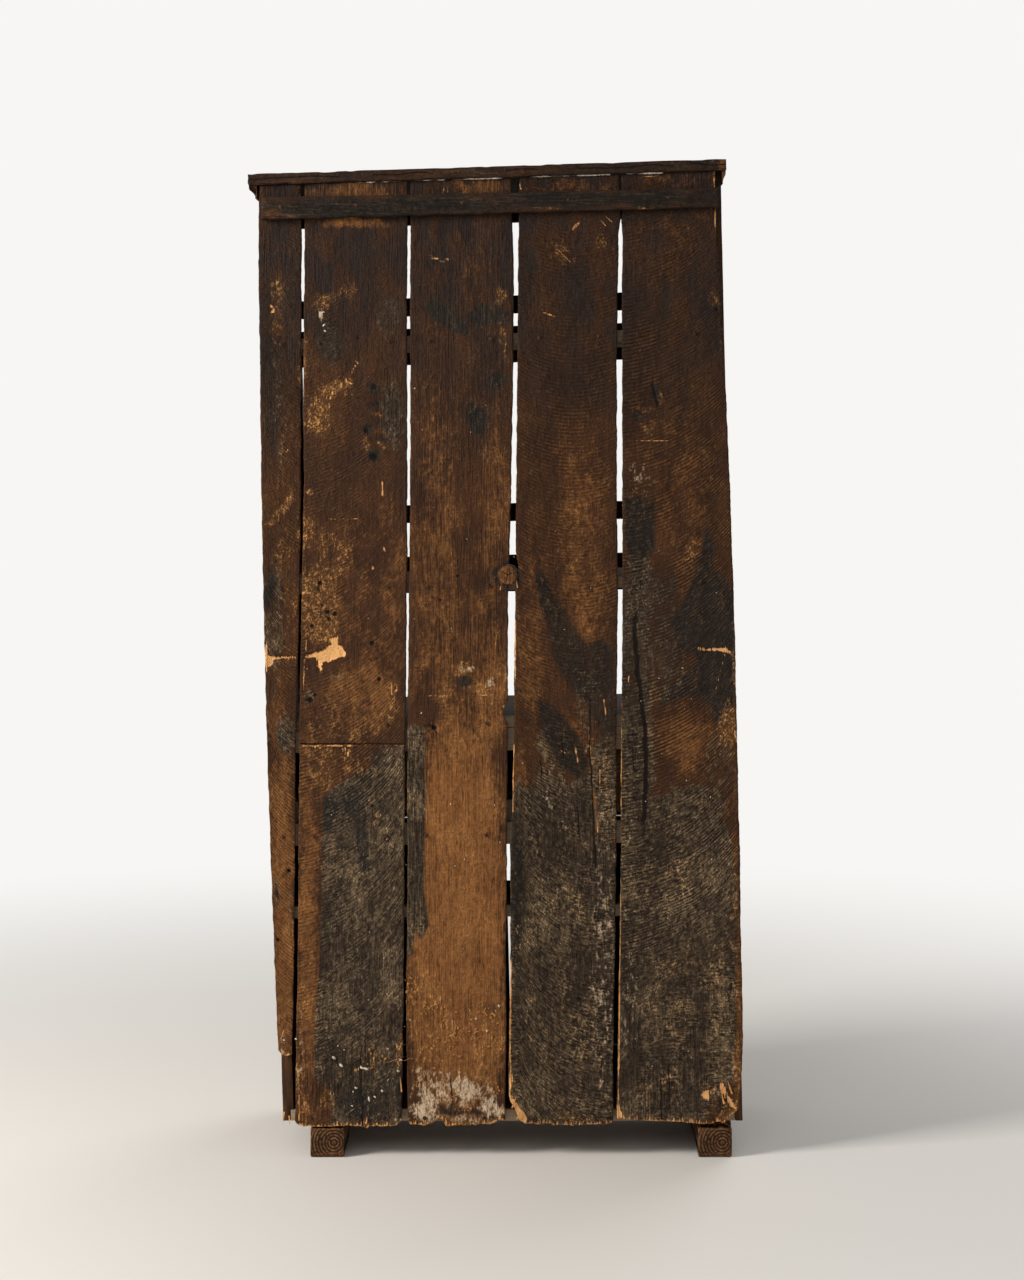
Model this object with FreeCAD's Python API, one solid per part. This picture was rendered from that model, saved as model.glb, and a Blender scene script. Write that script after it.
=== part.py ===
import FreeCAD, Part
import math
import os

# A narrow farmhouse cupboard of sawn pine: open plate racks above, two drawers and a pair of
# framed doors below, on two sledge feet. The case has racked with age. Every board is drawn
# upright, as its maker cut it, and then set where the leaning case holds it.
# Millimetres. X runs to the right as seen from the front, Y to the back and Z up.
# The origin is on the ground, at the middle of the whole cupboard's box.

# Case, and how far it has racked
case_width = 815.0  # over both side boards, at the foot
case_height = 1682.0  # from the feet to the top board, along the left side
case_depth = 380.0  # from the face of the front frame to the rear of the back boards
left_lean = 39.0  # how far the left side's top stands to the right of its foot
right_lean = 44.0
right_drop = 26.0  # how much lower the right side ends than the left
side_thickness = 20.0
housing_depth = 6.0  # how deep the shelves are let into the side boards

# Sledge feet
foot_height = 60.0
foot_width = 60.0
left_foot_inset = 20.0
right_foot_inset = 50.0
foot_toe = 16.0  # height of the blunt front end
foot_nose = 46.0  # length of the curve under the front end
foot_heel = 5.0  # bevel under the rear end
foot_rebate = 8.0  # cut out of the top at the rear, under the hanging back boards
nose_share = 0.3  # how near its poles come to the square corner

# Front frame
frame_thickness = 21.0
stile_width = 41.0
base_rail_height = 55.0
drawer_rail_height = 40.0
shelf_rail_height = 70.0
guard_rail_height = 35.0
guard_rail_thickness = 12.0
frieze_height = 52.0
divider_width = 30.0
tenon_share = 1 / 3  # a tenon's share of the thickness of its rail
tenon_length = 24.0
tenon_shoulder = 7.0

# Heights of the closed part, and where the open shelves divide the rack above it
door_opening_height = 439.0  # from the base rail to the drawer rail
drawer_opening_height = 168.0  # from the drawer rail to the waist board
lower_shelf_rise = 309.0  # from the base rail to the shelf behind the doors
middle_shelf_share = 0.2336  # of the height from the waist board to the top
top_shelf_share = 0.6903

# Boards inside the case
shelf_thickness = 21.0
shelf_rail_drop = 23.0  # how far a face rail hangs below its shelf
guard_clearance = 90.0  # from the middle shelf's top to its guard rail
top_guard_clearance = 50.0
lower_shelf_depth = 262.0
waist_nose = 14.0  # how far the waist board stands out in front
waist_nose_radius = 8.0
cleat_height = 41.0
cleat_thickness = 18.0
runner_rail_thickness = 22.0
runner_thickness = 20.0
runner_bearing = 18.0  # how much of a runner lies under a drawer side
guide_height = 36.0

# Top board and cornice
top_thickness = 20.0
top_front_overhang = 24.0
top_rear_overhang = 7.0
left_overhang = 8.0
right_overhang = 15.0
cornice_height = 24.0
cornice_reach = 20.0  # how far the front cornice stands out
# Poles of its ogee, as shares of its reach and its height, from its top band to its lower one
ogee_shares = ((1.0, 0.17), (0.97, 0.5), (0.6, 0.35), (0.25, 0.82))
cornice_slack = 0.6  # how much less than the top board a return stands out

# Back boards, counted from the right side, which is the left one as seen from behind
back_thickness = 20.0
edge_top_shares = (0.004, 0.102, 0.327, 0.557, 0.782, 0.987)
edge_foot_shares = (-0.004, 0.025, 0.265, 0.486, 0.725, 1.001)
right_edge_bow = 8.5  # how far the first board's outer edge swells at half its height
left_edge_bow = 3.5  # and the fifth's
bow_steps = 8
wide_gap = 7.0
middle_gap = 4.5
narrow_gap = 3.0
back_1_rise = 124.0  # how far it ends above the feet
back_2_hang = 5.0  # how far it hangs below their tops
back_3_hang = 2.0
back_4_hang = 4.0
back_5_rise = 8.0
back_joint_drop = 22.0  # from the waist board to where the second board's lengths meet
ragged_bite = 14.0  # deepest bite out of a rotten lower end
end_1_shares = ((0.0, 0.1), (0.45, 0.0), (1.0, 0.2))
end_2_shares = ((0.0, 0.25), (0.06, 0.0), (0.35, 0.1), (0.62, 0.35), (1.0, 0.2))
end_3_shares = ((0.0, 0.5), (0.1, 0.15), (0.3, 0.0), (0.55, 0.35), (0.8, 0.1), (1.0, 0.55))
end_4_shares = ((0.0, 3.6), (0.05, 2.0), (0.12, 0.2), (0.5, 0.0), (0.8, 0.3), (1.0, 0.1))
end_5_shares = ((0.0, 0.1), (0.4, 0.35), (0.72, 0.0), (0.9, 0.3), (1.0, 1.0))
chip_radius = 19.0
chip_bite = 10.0
chip_rise = 7.0  # from the top of the waist board to its middle
knot_radius = 19.0
knot_slack = 0.8  # between the knot and the fourth board
knot_rise = 28.0  # from the middle shelf's underside to the knot's middle
batten_right_height = 39.0
batten_left_height = 33.5
batten_thickness = 16.0
batten_right_drop = 22.0  # from the top board to the batten, at the batten's right end
batten_left_drop = 30.0
batten_left_inset = 11.0
batten_right_inset = 3.0
nail_head = 7.0
nail_crown = 4.0
nail_rise = 1.5
nail_shares = ((0.5,), (0.16, 0.82), (0.2, 0.78), (0.24, 0.8), (0.18, 0.74))

# Doors
door_thickness = 20.0
door_gap = 3.0
centre_gap = 7.0
door_stile_width = 56.0
door_top_rail = 56.0
door_bottom_rail = 76.0
groove_depth = 9.0
tongue_thickness = 6.0
tongue_setback = 8.0  # from the door's face to the panel's tongue
tongue_slack = 1.0  # room for the panel to move in its groove
panel_bevel = 30.0
bevel_rise = 3.0
field_rise = 2.0
fit_gap = 0.15

# Butt hinges
hinge_length = 62.0
hinge_inset = 52.0  # from a door's end to the near end of its hinge
knuckle_count = 5
knuckle_radius = 4.5
knuckle_gap = 0.3
leaf_thickness = 1.3
leaf_depth = 18.0
pin_radius = 2.2
pin_gap = 0.08
pin_cap = 1.5

# Turned knobs
knob_length = 30.0
knob_radius = 16.0
knob_collar_radius = 11.0
knob_collar = 4.0
# Poles of a knob's crown, as shares of its radius and its length
knob_crown_shares = ((0.5, 0.29), (0.8, 0.42), (1.16, 0.62), (0.9, 1.0), (0.0, 1.0))
spigot_radius = 6.0
spigot_gap = 0.1
door_knob_drop = 202.0  # from the drawer rail to the knob's middle

# Turn button
button_length = 74.0
button_width = 22.0
button_thickness = 11.0
button_bevel = 2.5
button_offset = 19.0  # from the middle of the doors to its screw
button_drop = 102.0  # from the drawer rail to its screw
button_gap = 0.3
screw_radius = 2.5
screw_head_radius = 5.5
screw_head_height = 3.0
screw_depth = 13.0  # how far it goes into the door
screw_gap = 0.08

# Drawers
drawer_gap = 2.0
drawer_headroom = 3.0
drawer_seat = 0.3  # from the runners to the drawer
drawer_front_thickness = 20.0
drawer_side_thickness = 12.0
drawer_side_drop = 5.0
drawer_rear_clearance = 14.0
drawer_bottom_thickness = 8.0
drawer_bottom_rise = 10.0
drawer_groove = 6.0
drawer_back_drop = 12.0
tail_count = 3
tail_lap = 6.0  # wood left in front of the tails
pin_tip = 2.5  # half of a dovetail pin at its narrow end
pin_root = 5.5

# One overrun serves every cut
overrun = 2.0

# Places that follow from the sizes above
half_case = case_width / 2
middle_x = -(right_lean + right_overhang) / 2
case_level = foot_height + case_height
box_depth = knob_length + case_depth + batten_thickness
face_y = knob_length - box_depth / 2
frame_rear = face_y + frame_thickness
back_rear = face_y + case_depth
back_front = back_rear - back_thickness
half_inside = half_case - side_thickness
half_opening = half_case - stile_width
half_housed = half_inside + housing_depth
base_rail_top = foot_height + base_rail_height
lower_shelf_level = base_rail_top + lower_shelf_rise
drawer_rail_level = base_rail_top + door_opening_height
drawer_floor = drawer_rail_level + drawer_rail_height
waist_level = drawer_floor + drawer_opening_height
waist_top = waist_level + shelf_thickness
rack_height = case_level - waist_top
middle_shelf_level = waist_top + middle_shelf_share * rack_height
top_shelf_level = waist_top + top_shelf_share * rack_height
middle_guard_level = middle_shelf_level + shelf_thickness + guard_clearance
top_guard_level = top_shelf_level + shelf_thickness + top_guard_clearance
frieze_level = case_level - frieze_height
back_joint_level = waist_level - back_joint_drop
chip_level = waist_top + chip_rise
knot_level = middle_shelf_level + knot_rise
door_knob_level = drawer_rail_level - door_knob_drop
button_level = drawer_rail_level - button_drop
gap_widths = (0.0, middle_gap, narrow_gap, wide_gap, wide_gap, 0.0)
edge_bows = (right_edge_bow, 0.0, 0.0, 0.0, 0.0, -left_edge_bow)


def racked(x, z):
    """Real X and Z of a point of the upright case, now that the case has racked."""
    up = (z - foot_height) / case_height
    across = (x + half_case) / case_width
    lean = left_lean + across * (right_lean - left_lean)
    return middle_x + x + up * lean, z - up * across * right_drop


def corner(x, y, z):
    """Real place of a point of the upright case."""
    real_x, real_z = racked(x, z)
    return FreeCAD.Vector(real_x, y, real_z)


def ring(points, y):
    """Closed outline through upright (x, z) points, at the depth y."""
    places = [corner(x, y, z) for x, z in points]
    return Part.makePolygon(places + places[:1])


def slab(points, y0, y1):
    """A flat piece with an upright outline of (x, z) points, from depth y0 to y1."""
    return Part.Face(ring(points, y0)).extrude(FreeCAD.Vector(0, y1 - y0, 0))


def corners(x0, x1, z0, z1):
    return [(x0, z0), (x1, z0), (x1, z1), (x0, z1)]


def board(x0, x1, z0, z1, y0, y1):
    """A straight board between two upright lines and two levels."""
    return slab(corners(x0, x1, z0, z1), y0, y1)


def across_case(half_width, z0, z1, y0, y1):
    """A board that runs across the case, the same either side of its middle."""
    return board(-half_width, half_width, z0, z1, y0, y1)


def without(shape, cutters):
    """The shape with every cutter taken out of it."""
    for cutter in cutters:
        shape = shape.cut(cutter)
    return shape


def joined(shapes):
    """One solid from pieces that touch or cross."""
    whole = shapes[0]
    for shape in shapes[1:]:
        whole = whole.fuse(shape)
    return whole.removeSplitter()


def rod(x, z, y0, y1, radius):
    """A round bar along Y, through an upright (x, z) place."""
    return Part.makeCylinder(radius, y1 - y0, corner(x, y0, z), FreeCAD.Vector(0, 1, 0))


def tilt(x, z):
    """Degrees about Y that turn an upright line to the lean of the case at (x, z)."""
    low_x, low_z = racked(x, z)
    high_x, high_z = racked(x, z + case_height)
    return math.degrees(math.atan2(high_x - low_x, high_z - low_z))


# Case boards

def shelf(level, half_width, front):
    """A shelf let into both side boards."""
    return across_case(half_width, level, level + shelf_thickness, front, back_front)


def tenon_depths(thickness):
    """Where a tenon begins and ends behind the face of wood of the given thickness."""
    half_tenon = thickness * tenon_share / 2
    middle = face_y + thickness / 2
    return middle - half_tenon, middle + half_tenon


def framed_rail(z0, z1, thickness=frame_thickness):
    """A rail of the front frame, with a stub tenon for each stile."""
    y0, y1 = tenon_depths(thickness)
    length = half_opening + tenon_length
    body = across_case(half_opening, z0, z1, face_y, face_y + thickness)
    tenon = across_case(length, z0 + tenon_shoulder, z1 - tenon_shoulder, y0, y1)
    return joined([body, tenon])


def guard_rails():
    """The thin rails that stop plates from falling: one over each open shelf."""
    levels = (middle_guard_level, top_guard_level)
    rails = [framed_rail(z, z + guard_rail_height, guard_rail_thickness) for z in levels]
    return Part.makeCompound(rails)


def waist_board():
    """The ledge over the drawers: let into the sides, notched for the stiles, with a nosing."""
    inner = across_case(half_housed, waist_level, waist_top, frame_rear, back_front)
    tongue = across_case(half_opening, waist_level, waist_top, face_y, frame_rear)
    nose = across_case(half_case, waist_level, waist_top, face_y - waist_nose, face_y)
    rim = [edge for edge in nose.Edges if on_depth(edge, face_y - waist_nose)]
    long_edges = [edge for edge in rim if edge.Length > half_case]
    return joined([inner, tongue, nose.makeFillet(waist_nose_radius, long_edges)])


def on_depth(edge, y):
    """Whether an edge lies in the plane at depth y."""
    return all(abs(vertex.Y - y) < fit_gap for vertex in edge.Vertexes)


def side_board(side, housed):
    """A side board, with a housing for each board that is let into it."""
    blank = board(
        side * half_case, side * half_inside, foot_height, case_level, frame_rear, back_front
    )
    return without(blank, housed)


def front_stile(side, rails):
    """A stile of the front frame, mortised for its rails."""
    blank = board(
        side * half_case, side * half_opening, foot_height, case_level, face_y, frame_rear
    )
    return without(blank, rails)


def drawer_divider():
    """The short upright between the drawers, with a tenon into the rail and into the waist."""
    half = divider_width / 2
    body = board(-half, half, drawer_floor, waist_level, face_y, frame_rear)
    y0, y1 = tenon_depths(frame_thickness)
    half_tenon = half - tenon_shoulder
    foot = drawer_floor - tenon_length / 2
    tenon = board(-half_tenon, half_tenon, foot, waist_level + tenon_shoulder, y0, y1)
    return joined([body, tenon])


def side_runner(side):
    """The runner and the guide that carry a drawer along a side board."""
    bearing = side * (half_opening - runner_bearing)
    low = drawer_floor - runner_thickness
    high = drawer_floor + guide_height
    outline = [
        (side * half_inside, low),
        (bearing, low),
        (bearing, drawer_floor),
        (side * half_opening, drawer_floor),
        (side * half_opening, high),
        (side * half_inside, high),
    ]
    return slab(outline, frame_rear, back_front - runner_rail_thickness)


def middle_runner():
    """The runner between the drawers, with one guide for both."""
    half_guide = divider_width / 2
    half_base = half_guide + runner_bearing
    low = drawer_floor - runner_thickness
    high = drawer_floor + guide_height
    half_outline = [(half_base, low), (half_base, drawer_floor), (half_guide, drawer_floor)]
    half_outline += [(half_guide, high)]
    outline = half_outline + [(-x, z) for x, z in reversed(half_outline)]
    return slab(outline, frame_rear, back_front - runner_rail_thickness)


def sledge_foot(x0):
    """A runner foot the depth of the case, nose turned up, heel bevelled, rebated behind."""
    left = middle_x + x0
    toe = FreeCAD.Vector(left, face_y, foot_height - foot_toe)
    sole = FreeCAD.Vector(left, face_y + foot_nose, 0)
    bow = FreeCAD.Vector(left, face_y, 0)
    rebate_level = foot_height - foot_rebate
    places = [
        FreeCAD.Vector(left, back_rear - foot_heel, 0),
        FreeCAD.Vector(left, back_rear, foot_heel),
        FreeCAD.Vector(left, back_rear, rebate_level),
        FreeCAD.Vector(left, back_front, rebate_level),
        FreeCAD.Vector(left, back_front, foot_height),
        FreeCAD.Vector(left, face_y, foot_height),
        toe,
    ]
    nose = Part.BezierCurve()
    nose.setPoles([toe, bow + (toe - bow) * nose_share, bow + (sole - bow) * nose_share, sole])
    lines = Part.makePolygon([sole] + places).Edges
    outline = Part.Wire(Part.__sortEdges__(lines + [nose.toShape()]))
    return Part.Face(outline).extrude(FreeCAD.Vector(foot_width, 0, 0))


# Back boards

def seam(index, z):
    """Upright x of the seam or end with this index, at level z."""
    up = (z - foot_height) / case_height
    foot_share = edge_foot_shares[index]
    share = foot_share + up * (edge_top_shares[index] - foot_share)
    swell = 4 * up * (1 - up) * edge_bows[index]
    return half_case - share * case_width + swell


def back_board(number, low, high, end_shares):
    """A back board between two seams, with its lower end cut to the shares given."""

    def place(across, z):
        right = seam(number - 1, z) - gap_widths[number - 1] / 2
        left = seam(number, z) + gap_widths[number] / 2
        return right + across * (left - right), z

    lower = [place(across, low + rise * ragged_bite) for across, rise in end_shares]
    right_edge = [place(0, z) for z in bow_levels(number - 1, low, high)]
    left_edge = [place(1, z) for z in bow_levels(number, low, high)]
    outline = [place(0, high)] + right_edge + lower + left_edge[::-1] + [place(1, high)]
    return slab(outline, back_front, back_rear)


def bow_levels(index, low, high):
    """Levels, going down, that draw the curve of an edge; none where the edge is straight."""
    if not edge_bows[index]:
        return []
    return [high - (high - low) * step / bow_steps for step in range(1, bow_steps)]


def edge_knot(slack=0.0):
    """The knot in the third board's edge, which reaches over the gap into the fourth."""
    x = seam(3, knot_level) + wide_gap / 2
    return rod(x, knot_level, back_front - slack, back_rear + slack, knot_radius + slack)


def edge_chip():
    """The rounded bite out of the third board's edge, beside the waist board."""
    x = seam(3, chip_level) - chip_radius + chip_bite + wide_gap / 2
    return rod(x, chip_level, back_front - overrun, back_rear + overrun, chip_radius)


def batten_ends():
    """Upright (x, lower level, upper level) of the batten's two ends, the left one first."""
    left_high = case_level - batten_left_drop
    right_high = case_level - batten_right_drop
    left = -half_case + batten_left_inset
    right = half_case - batten_right_inset
    return (
        (left, left_high - batten_left_height, left_high),
        (right, right_high - batten_right_height, right_high),
    )


def batten_nail_places():
    """Upright (x, z) of the nails in the batten, one over the middle of each back board."""
    (left, left_low, left_high), (right, right_low, right_high) = batten_ends()
    left_middle = (left_low + left_high) / 2
    climb = ((right_low + right_high) / 2 - left_middle) / (right - left)
    seams = [seam(index, left_high) for index in range(len(edge_top_shares))]
    middles = [(first + second) / 2 for first, second in zip(seams, seams[1:])]
    return [(x, left_middle + (x - left) * climb) for x in middles]


def back_batten():
    """The batten, dented where its nails are driven flush, so that it can lie on a wall."""
    (left, left_low, left_high), (right, right_low, right_high) = batten_ends()
    outline = [(left, left_low), (right, right_low), (right, right_high), (left, left_high)]
    rear = back_rear + batten_thickness
    blank = slab(outline, back_rear, rear)
    start = FreeCAD.Vector(-nail_head / 2, -nail_rise, -nail_head / 2)
    dent = Part.makeBox(nail_head, nail_rise + overrun, nail_head, start)
    places = [corner(x, rear, z) for x, z in batten_nail_places()]
    return without(blank, [dent.translated(place) for place in places])


def nail(x, y, z):
    """A hand-forged nail head that rises from the depth y."""
    half = nail_head / 2
    crown = nail_crown / 2
    head = Part.makeWedge(-half, 0, -half, -crown, -crown, half, nail_rise, half, crown, crown)
    head.translate(corner(x, y, z))
    return head


def back_nails():
    """Nail heads over each board that the back is nailed to, and flush ones in the batten."""
    half_board = shelf_thickness / 2
    levels = [
        foot_height + half_board,
        drawer_floor - drawer_rail_height / 2,
        waist_level + half_board,
        middle_shelf_level + half_board,
        top_shelf_level + half_board,
    ]
    heads = []
    for number, shares in enumerate(nail_shares, start=1):
        for level in levels:
            if number == 1 and level < foot_height + back_1_rise:
                continue
            for share in shares:
                x = seam(number - 1, level) * (1 - share) + seam(number, level) * share
                heads.append(nail(x, back_rear, level))
    flush = back_rear + batten_thickness - nail_rise
    heads += [nail(x, flush, z) for x, z in batten_nail_places()]
    return Part.makeCompound(heads)


# Top board and cornice, made level and then laid on the sloping top of the case

top_left = corner(-half_case, 0, case_level)
top_right = corner(half_case, 0, case_level)
top_length = (top_right - top_left).Length
top_slope = math.degrees(math.atan2(top_left.z - top_right.z, top_right.x - top_left.x))


def laid_on_top(shape):
    """Moves a piece from its level drawing to the top of the case."""
    turn = FreeCAD.Rotation(FreeCAD.Vector(0, 1, 0), top_slope)
    return shape.transformed(FreeCAD.Placement(top_left, turn).toMatrix())


def top_board():
    front = face_y - top_front_overhang
    length = left_overhang + top_length + right_overhang
    depth = back_rear + top_rear_overhang - front
    start = FreeCAD.Vector(-left_overhang, front, 0)
    return laid_on_top(Part.makeBox(length, depth, top_thickness, start))


def cornice_profile(point):
    """Ogee moulding in a plane: point turns a reach share and a drop into a place."""
    poles = [point(share, drop * cornice_height) for share, drop in ogee_shares]
    curve = Part.BezierCurve()
    curve.setPoles(poles)
    lower = point(ogee_shares[-1][0], cornice_height)
    upper = point(ogee_shares[0][0], 0)
    back = [poles[-1], lower, point(0, cornice_height), point(0, 0), upper, poles[0]]
    edges = [curve.toShape()] + Part.makePolygon(back).Edges
    return Part.Face(Part.Wire(Part.__sortEdges__(edges)))


def mitred(moulding, plan):
    """A length of moulding, cut to its plan of (x, y) points."""
    places = [FreeCAD.Vector(x, y, -cornice_height - overrun) for x, y in plan]
    face = Part.Face(Part.makePolygon(places + places[:1]))
    height = FreeCAD.Vector(0, 0, cornice_height + overrun * 2)
    return laid_on_top(moulding.common(face.extrude(height)))


def cornice_front():
    left = left_overhang - cornice_slack
    right = right_overhang - cornice_slack
    profile = cornice_profile(
        lambda share, drop: FreeCAD.Vector(-left, face_y - share * cornice_reach, -drop)
    )
    moulding = profile.extrude(FreeCAD.Vector(left + top_length + right, 0, 0))
    front = face_y - cornice_reach
    plan = [(0, face_y), (top_length, face_y), (top_length + right, front), (-left, front)]
    return mitred(moulding, plan)


def cornice_return(corner_x, reach):
    """A side length of cornice, from the front mitre to the rear of the back boards."""
    front = face_y - cornice_reach
    profile = cornice_profile(
        lambda share, drop: FreeCAD.Vector(corner_x + share * reach, front, -drop)
    )
    moulding = profile.extrude(FreeCAD.Vector(0, back_rear - front, 0))
    outer = corner_x + reach
    plan = [(corner_x, face_y), (corner_x, back_rear), (outer, back_rear), (outer, front)]
    return mitred(moulding, plan)


# Hinges, knobs and the turn button

def knuckles(first):
    """Barrel lengths of a leaf, every second one, and the strips that join them to it."""
    pitch = hinge_length / knuckle_count
    for index in range(first, knuckle_count, 2):
        yield index * pitch + knuckle_gap / 2, pitch - knuckle_gap


def leaf(side, first):
    """A hinge leaf about an upright pin on the Z axis, on the given side of the gap."""
    clear = door_gap / 2 - leaf_thickness
    outer = clear + leaf_thickness
    left = min(side * clear, side * outer)
    plate_y = knuckle_radius + knuckle_gap
    place = FreeCAD.Vector(left, plate_y, 0)
    pieces = [Part.makeBox(leaf_thickness, leaf_depth, hinge_length, place)]
    for z, length in knuckles(first):
        pieces.append(Part.makeCylinder(knuckle_radius, length, FreeCAD.Vector(0, 0, z)))
        strip = FreeCAD.Vector(left, 0, z)
        pieces.append(Part.makeBox(leaf_thickness, plate_y, length, strip))
    return joined(pieces)


def hinge_pin(radius):
    return Part.makeCylinder(
        radius, hinge_length + pin_cap * 2, FreeCAD.Vector(0, 0, -pin_cap)
    )


def hinge_x(side):
    """Upright x of a door's hinge line, the middle of the gap beside the stile."""
    return side * (half_opening - door_gap / 2)


def hinge_y():
    return face_y - knuckle_radius - knuckle_gap


def door_levels():
    return base_rail_top + door_gap, drawer_rail_level - door_gap


def set_hinges(shape, side):
    """Copies of a hinge piece at both hinges of a door, turned to the door's lean."""
    low, high = door_levels()
    x = hinge_x(side)
    turn = FreeCAD.Rotation(FreeCAD.Vector(0, 1, 0), tilt(x, low))
    placed = []
    for z in (low + hinge_inset, high - hinge_inset - hinge_length):
        place = FreeCAD.Placement(corner(x, hinge_y(), z), turn)
        placed.append(shape.transformed(place.toMatrix()))
    return placed


def frame_hinge_leaves():
    """The leaves on both stiles, with the pins riveted into them."""
    pieces = []
    for side in (-1, 1):
        pieces += set_hinges(joined([leaf(side, 0), hinge_pin(pin_radius)]), side)
    return Part.makeCompound(pieces)


def door_hinge_leaves(side):
    """The two leaves on a door, bored to turn on their pins."""
    bored = leaf(-side, 1).cut(hinge_pin(pin_radius + pin_gap))
    return Part.makeCompound(set_hinges(bored, side))


def turned_knob(x, z, depth):
    """A turned knob on the front face, with a spigot through wood of the given depth."""
    crown = [
        FreeCAD.Vector(knob_radius * radius_share, 0, knob_length * length_share)
        for radius_share, length_share in knob_crown_shares
    ]
    curve = Part.BezierCurve()
    curve.setPoles(crown)
    foot = [
        crown[-1],
        FreeCAD.Vector(0, 0, -depth),
        FreeCAD.Vector(spigot_radius, 0, -depth),
        FreeCAD.Vector(spigot_radius, 0, 0),
        FreeCAD.Vector(knob_collar_radius, 0, 0),
        FreeCAD.Vector(knob_collar_radius, 0, knob_collar),
        crown[0],
    ]
    edges = [curve.toShape()] + Part.makePolygon(foot).Edges
    face = Part.Face(Part.Wire(Part.__sortEdges__(edges)))
    knob = face.revolve(FreeCAD.Vector(0, 0, 0), FreeCAD.Vector(0, 0, 1), 360)
    turn = FreeCAD.Rotation(FreeCAD.Vector(1, 0, 0), 90)
    return knob.transformed(FreeCAD.Placement(corner(x, face_y, z), turn).toMatrix())


def spigot_hole(x, z, depth):
    return rod(x, z, face_y - overrun, face_y + depth + overrun, spigot_radius + spigot_gap)


def turn_button():
    """A wooden bar with round ends, which turns on its screw to hold both doors."""
    half = button_width / 2
    reach = button_length / 2 - half
    top = FreeCAD.Vector(0, 0, reach + half)
    foot = FreeCAD.Vector(0, 0, -reach - half)
    left_top = FreeCAD.Vector(-half, 0, reach)
    right_top = FreeCAD.Vector(half, 0, reach)
    left_foot = FreeCAD.Vector(-half, 0, -reach)
    right_foot = FreeCAD.Vector(half, 0, -reach)
    edges = [
        Part.Arc(left_top, top, right_top).toShape(),
        Part.LineSegment(right_top, right_foot).toShape(),
        Part.Arc(right_foot, foot, left_foot).toShape(),
        Part.LineSegment(left_foot, left_top).toShape(),
    ]
    bar = Part.Face(Part.Wire(edges)).extrude(FreeCAD.Vector(0, -button_thickness, 0))
    rim = [edge for edge in bar.Edges if on_depth(edge, -button_thickness)]
    bar = bar.makeChamfer(button_bevel, rim)
    back = FreeCAD.Vector(0, overrun, 0)
    length = button_thickness + overrun * 2
    axis = FreeCAD.Vector(0, -1, 0)
    bar = bar.cut(Part.makeCylinder(screw_radius + screw_gap, length, back, axis))
    turn = FreeCAD.Rotation(axis, -tilt(button_offset, button_level))
    place = FreeCAD.Placement(corner(button_offset, face_y - button_gap, button_level), turn)
    return bar.transformed(place.toMatrix())


def button_screw():
    """The screw that the button turns on: a domed head, and a shank into the door."""
    head_y = face_y - button_gap * 2 - button_thickness
    shank = rod(button_offset, button_level, head_y, face_y + screw_depth, screw_radius)
    axis = FreeCAD.Vector(0, -1, 0)
    crown_radius = screw_head_radius / 2
    start = corner(button_offset, head_y, button_level)
    head = Part.makeCone(screw_head_radius, crown_radius, screw_head_height, start, axis)
    return joined([shank, head])


# Doors

def door_frame(side):
    """Stiles and rails of a door: the rails' tenons run right through the stiles."""
    low, high = door_levels()
    lock = centre_gap / 2
    hinge = half_opening - door_gap
    inner = lock + door_stile_width
    outer = hinge - door_stile_width
    rear = face_y + door_thickness
    y0, y1 = tenon_depths(door_thickness)
    rails = []
    for z0, z1 in ((low, low + door_bottom_rail), (high - door_top_rail, high)):
        body = board(side * inner, side * outer, z0, z1, face_y, rear)
        tenon_low = z0 + tenon_shoulder
        tenon_high = z1 - tenon_shoulder
        tenon = board(side * lock, side * hinge, tenon_low, tenon_high, y0, y1)
        rails.append(joined([body, tenon]))
    bottom_rail, top_rail = rails
    stiles = []
    for x0, x1 in ((lock, inner), (outer, hinge)):
        blank = board(side * x0, side * x1, low, high, face_y, rear)
        stiles.append(without(blank, rails))
    lock_stile, hinge_stile = stiles
    return lock_stile, hinge_stile, bottom_rail, top_rail


def panel_opening():
    """Edges of a door's panel opening: from the middle of the case, and the two levels."""
    low, high = door_levels()
    inner = centre_gap / 2 + door_stile_width
    outer = half_opening - door_gap - door_stile_width
    return inner, outer, low + door_bottom_rail, high - door_top_rail


def grown_opening(side, growth):
    """The panel opening's corners, grown or shrunk on every edge."""
    inner, outer, low, high = panel_opening()
    x0 = side * (inner - growth)
    x1 = side * (outer + growth)
    return corners(x0, x1, low - growth, high + growth)


def door_panel(side):
    """A fielded panel: a tongue in the groove, a sloping margin and a raised field."""
    tongue_y = face_y + tongue_setback
    bevel_y = tongue_y - bevel_rise
    tongue = slab(
        grown_opening(side, groove_depth - tongue_slack), tongue_y, tongue_y + tongue_thickness
    )
    margin = ring(grown_opening(side, -fit_gap), tongue_y)
    bevel = Part.makeLoft([margin, ring(grown_opening(side, -panel_bevel), bevel_y)], True, True)
    field = slab(grown_opening(side, -panel_bevel), bevel_y - field_rise, bevel_y)
    return joined([tongue, bevel, field])


def door_groove(side):
    """The room that the panel's tongue takes in the frame."""
    y0 = face_y + tongue_setback - fit_gap
    y1 = face_y + tongue_setback + tongue_thickness + fit_gap
    return slab(grown_opening(side, groove_depth), y0, y1)


def door_knob_x(side):
    return side * (centre_gap + door_stile_width) / 2


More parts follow.
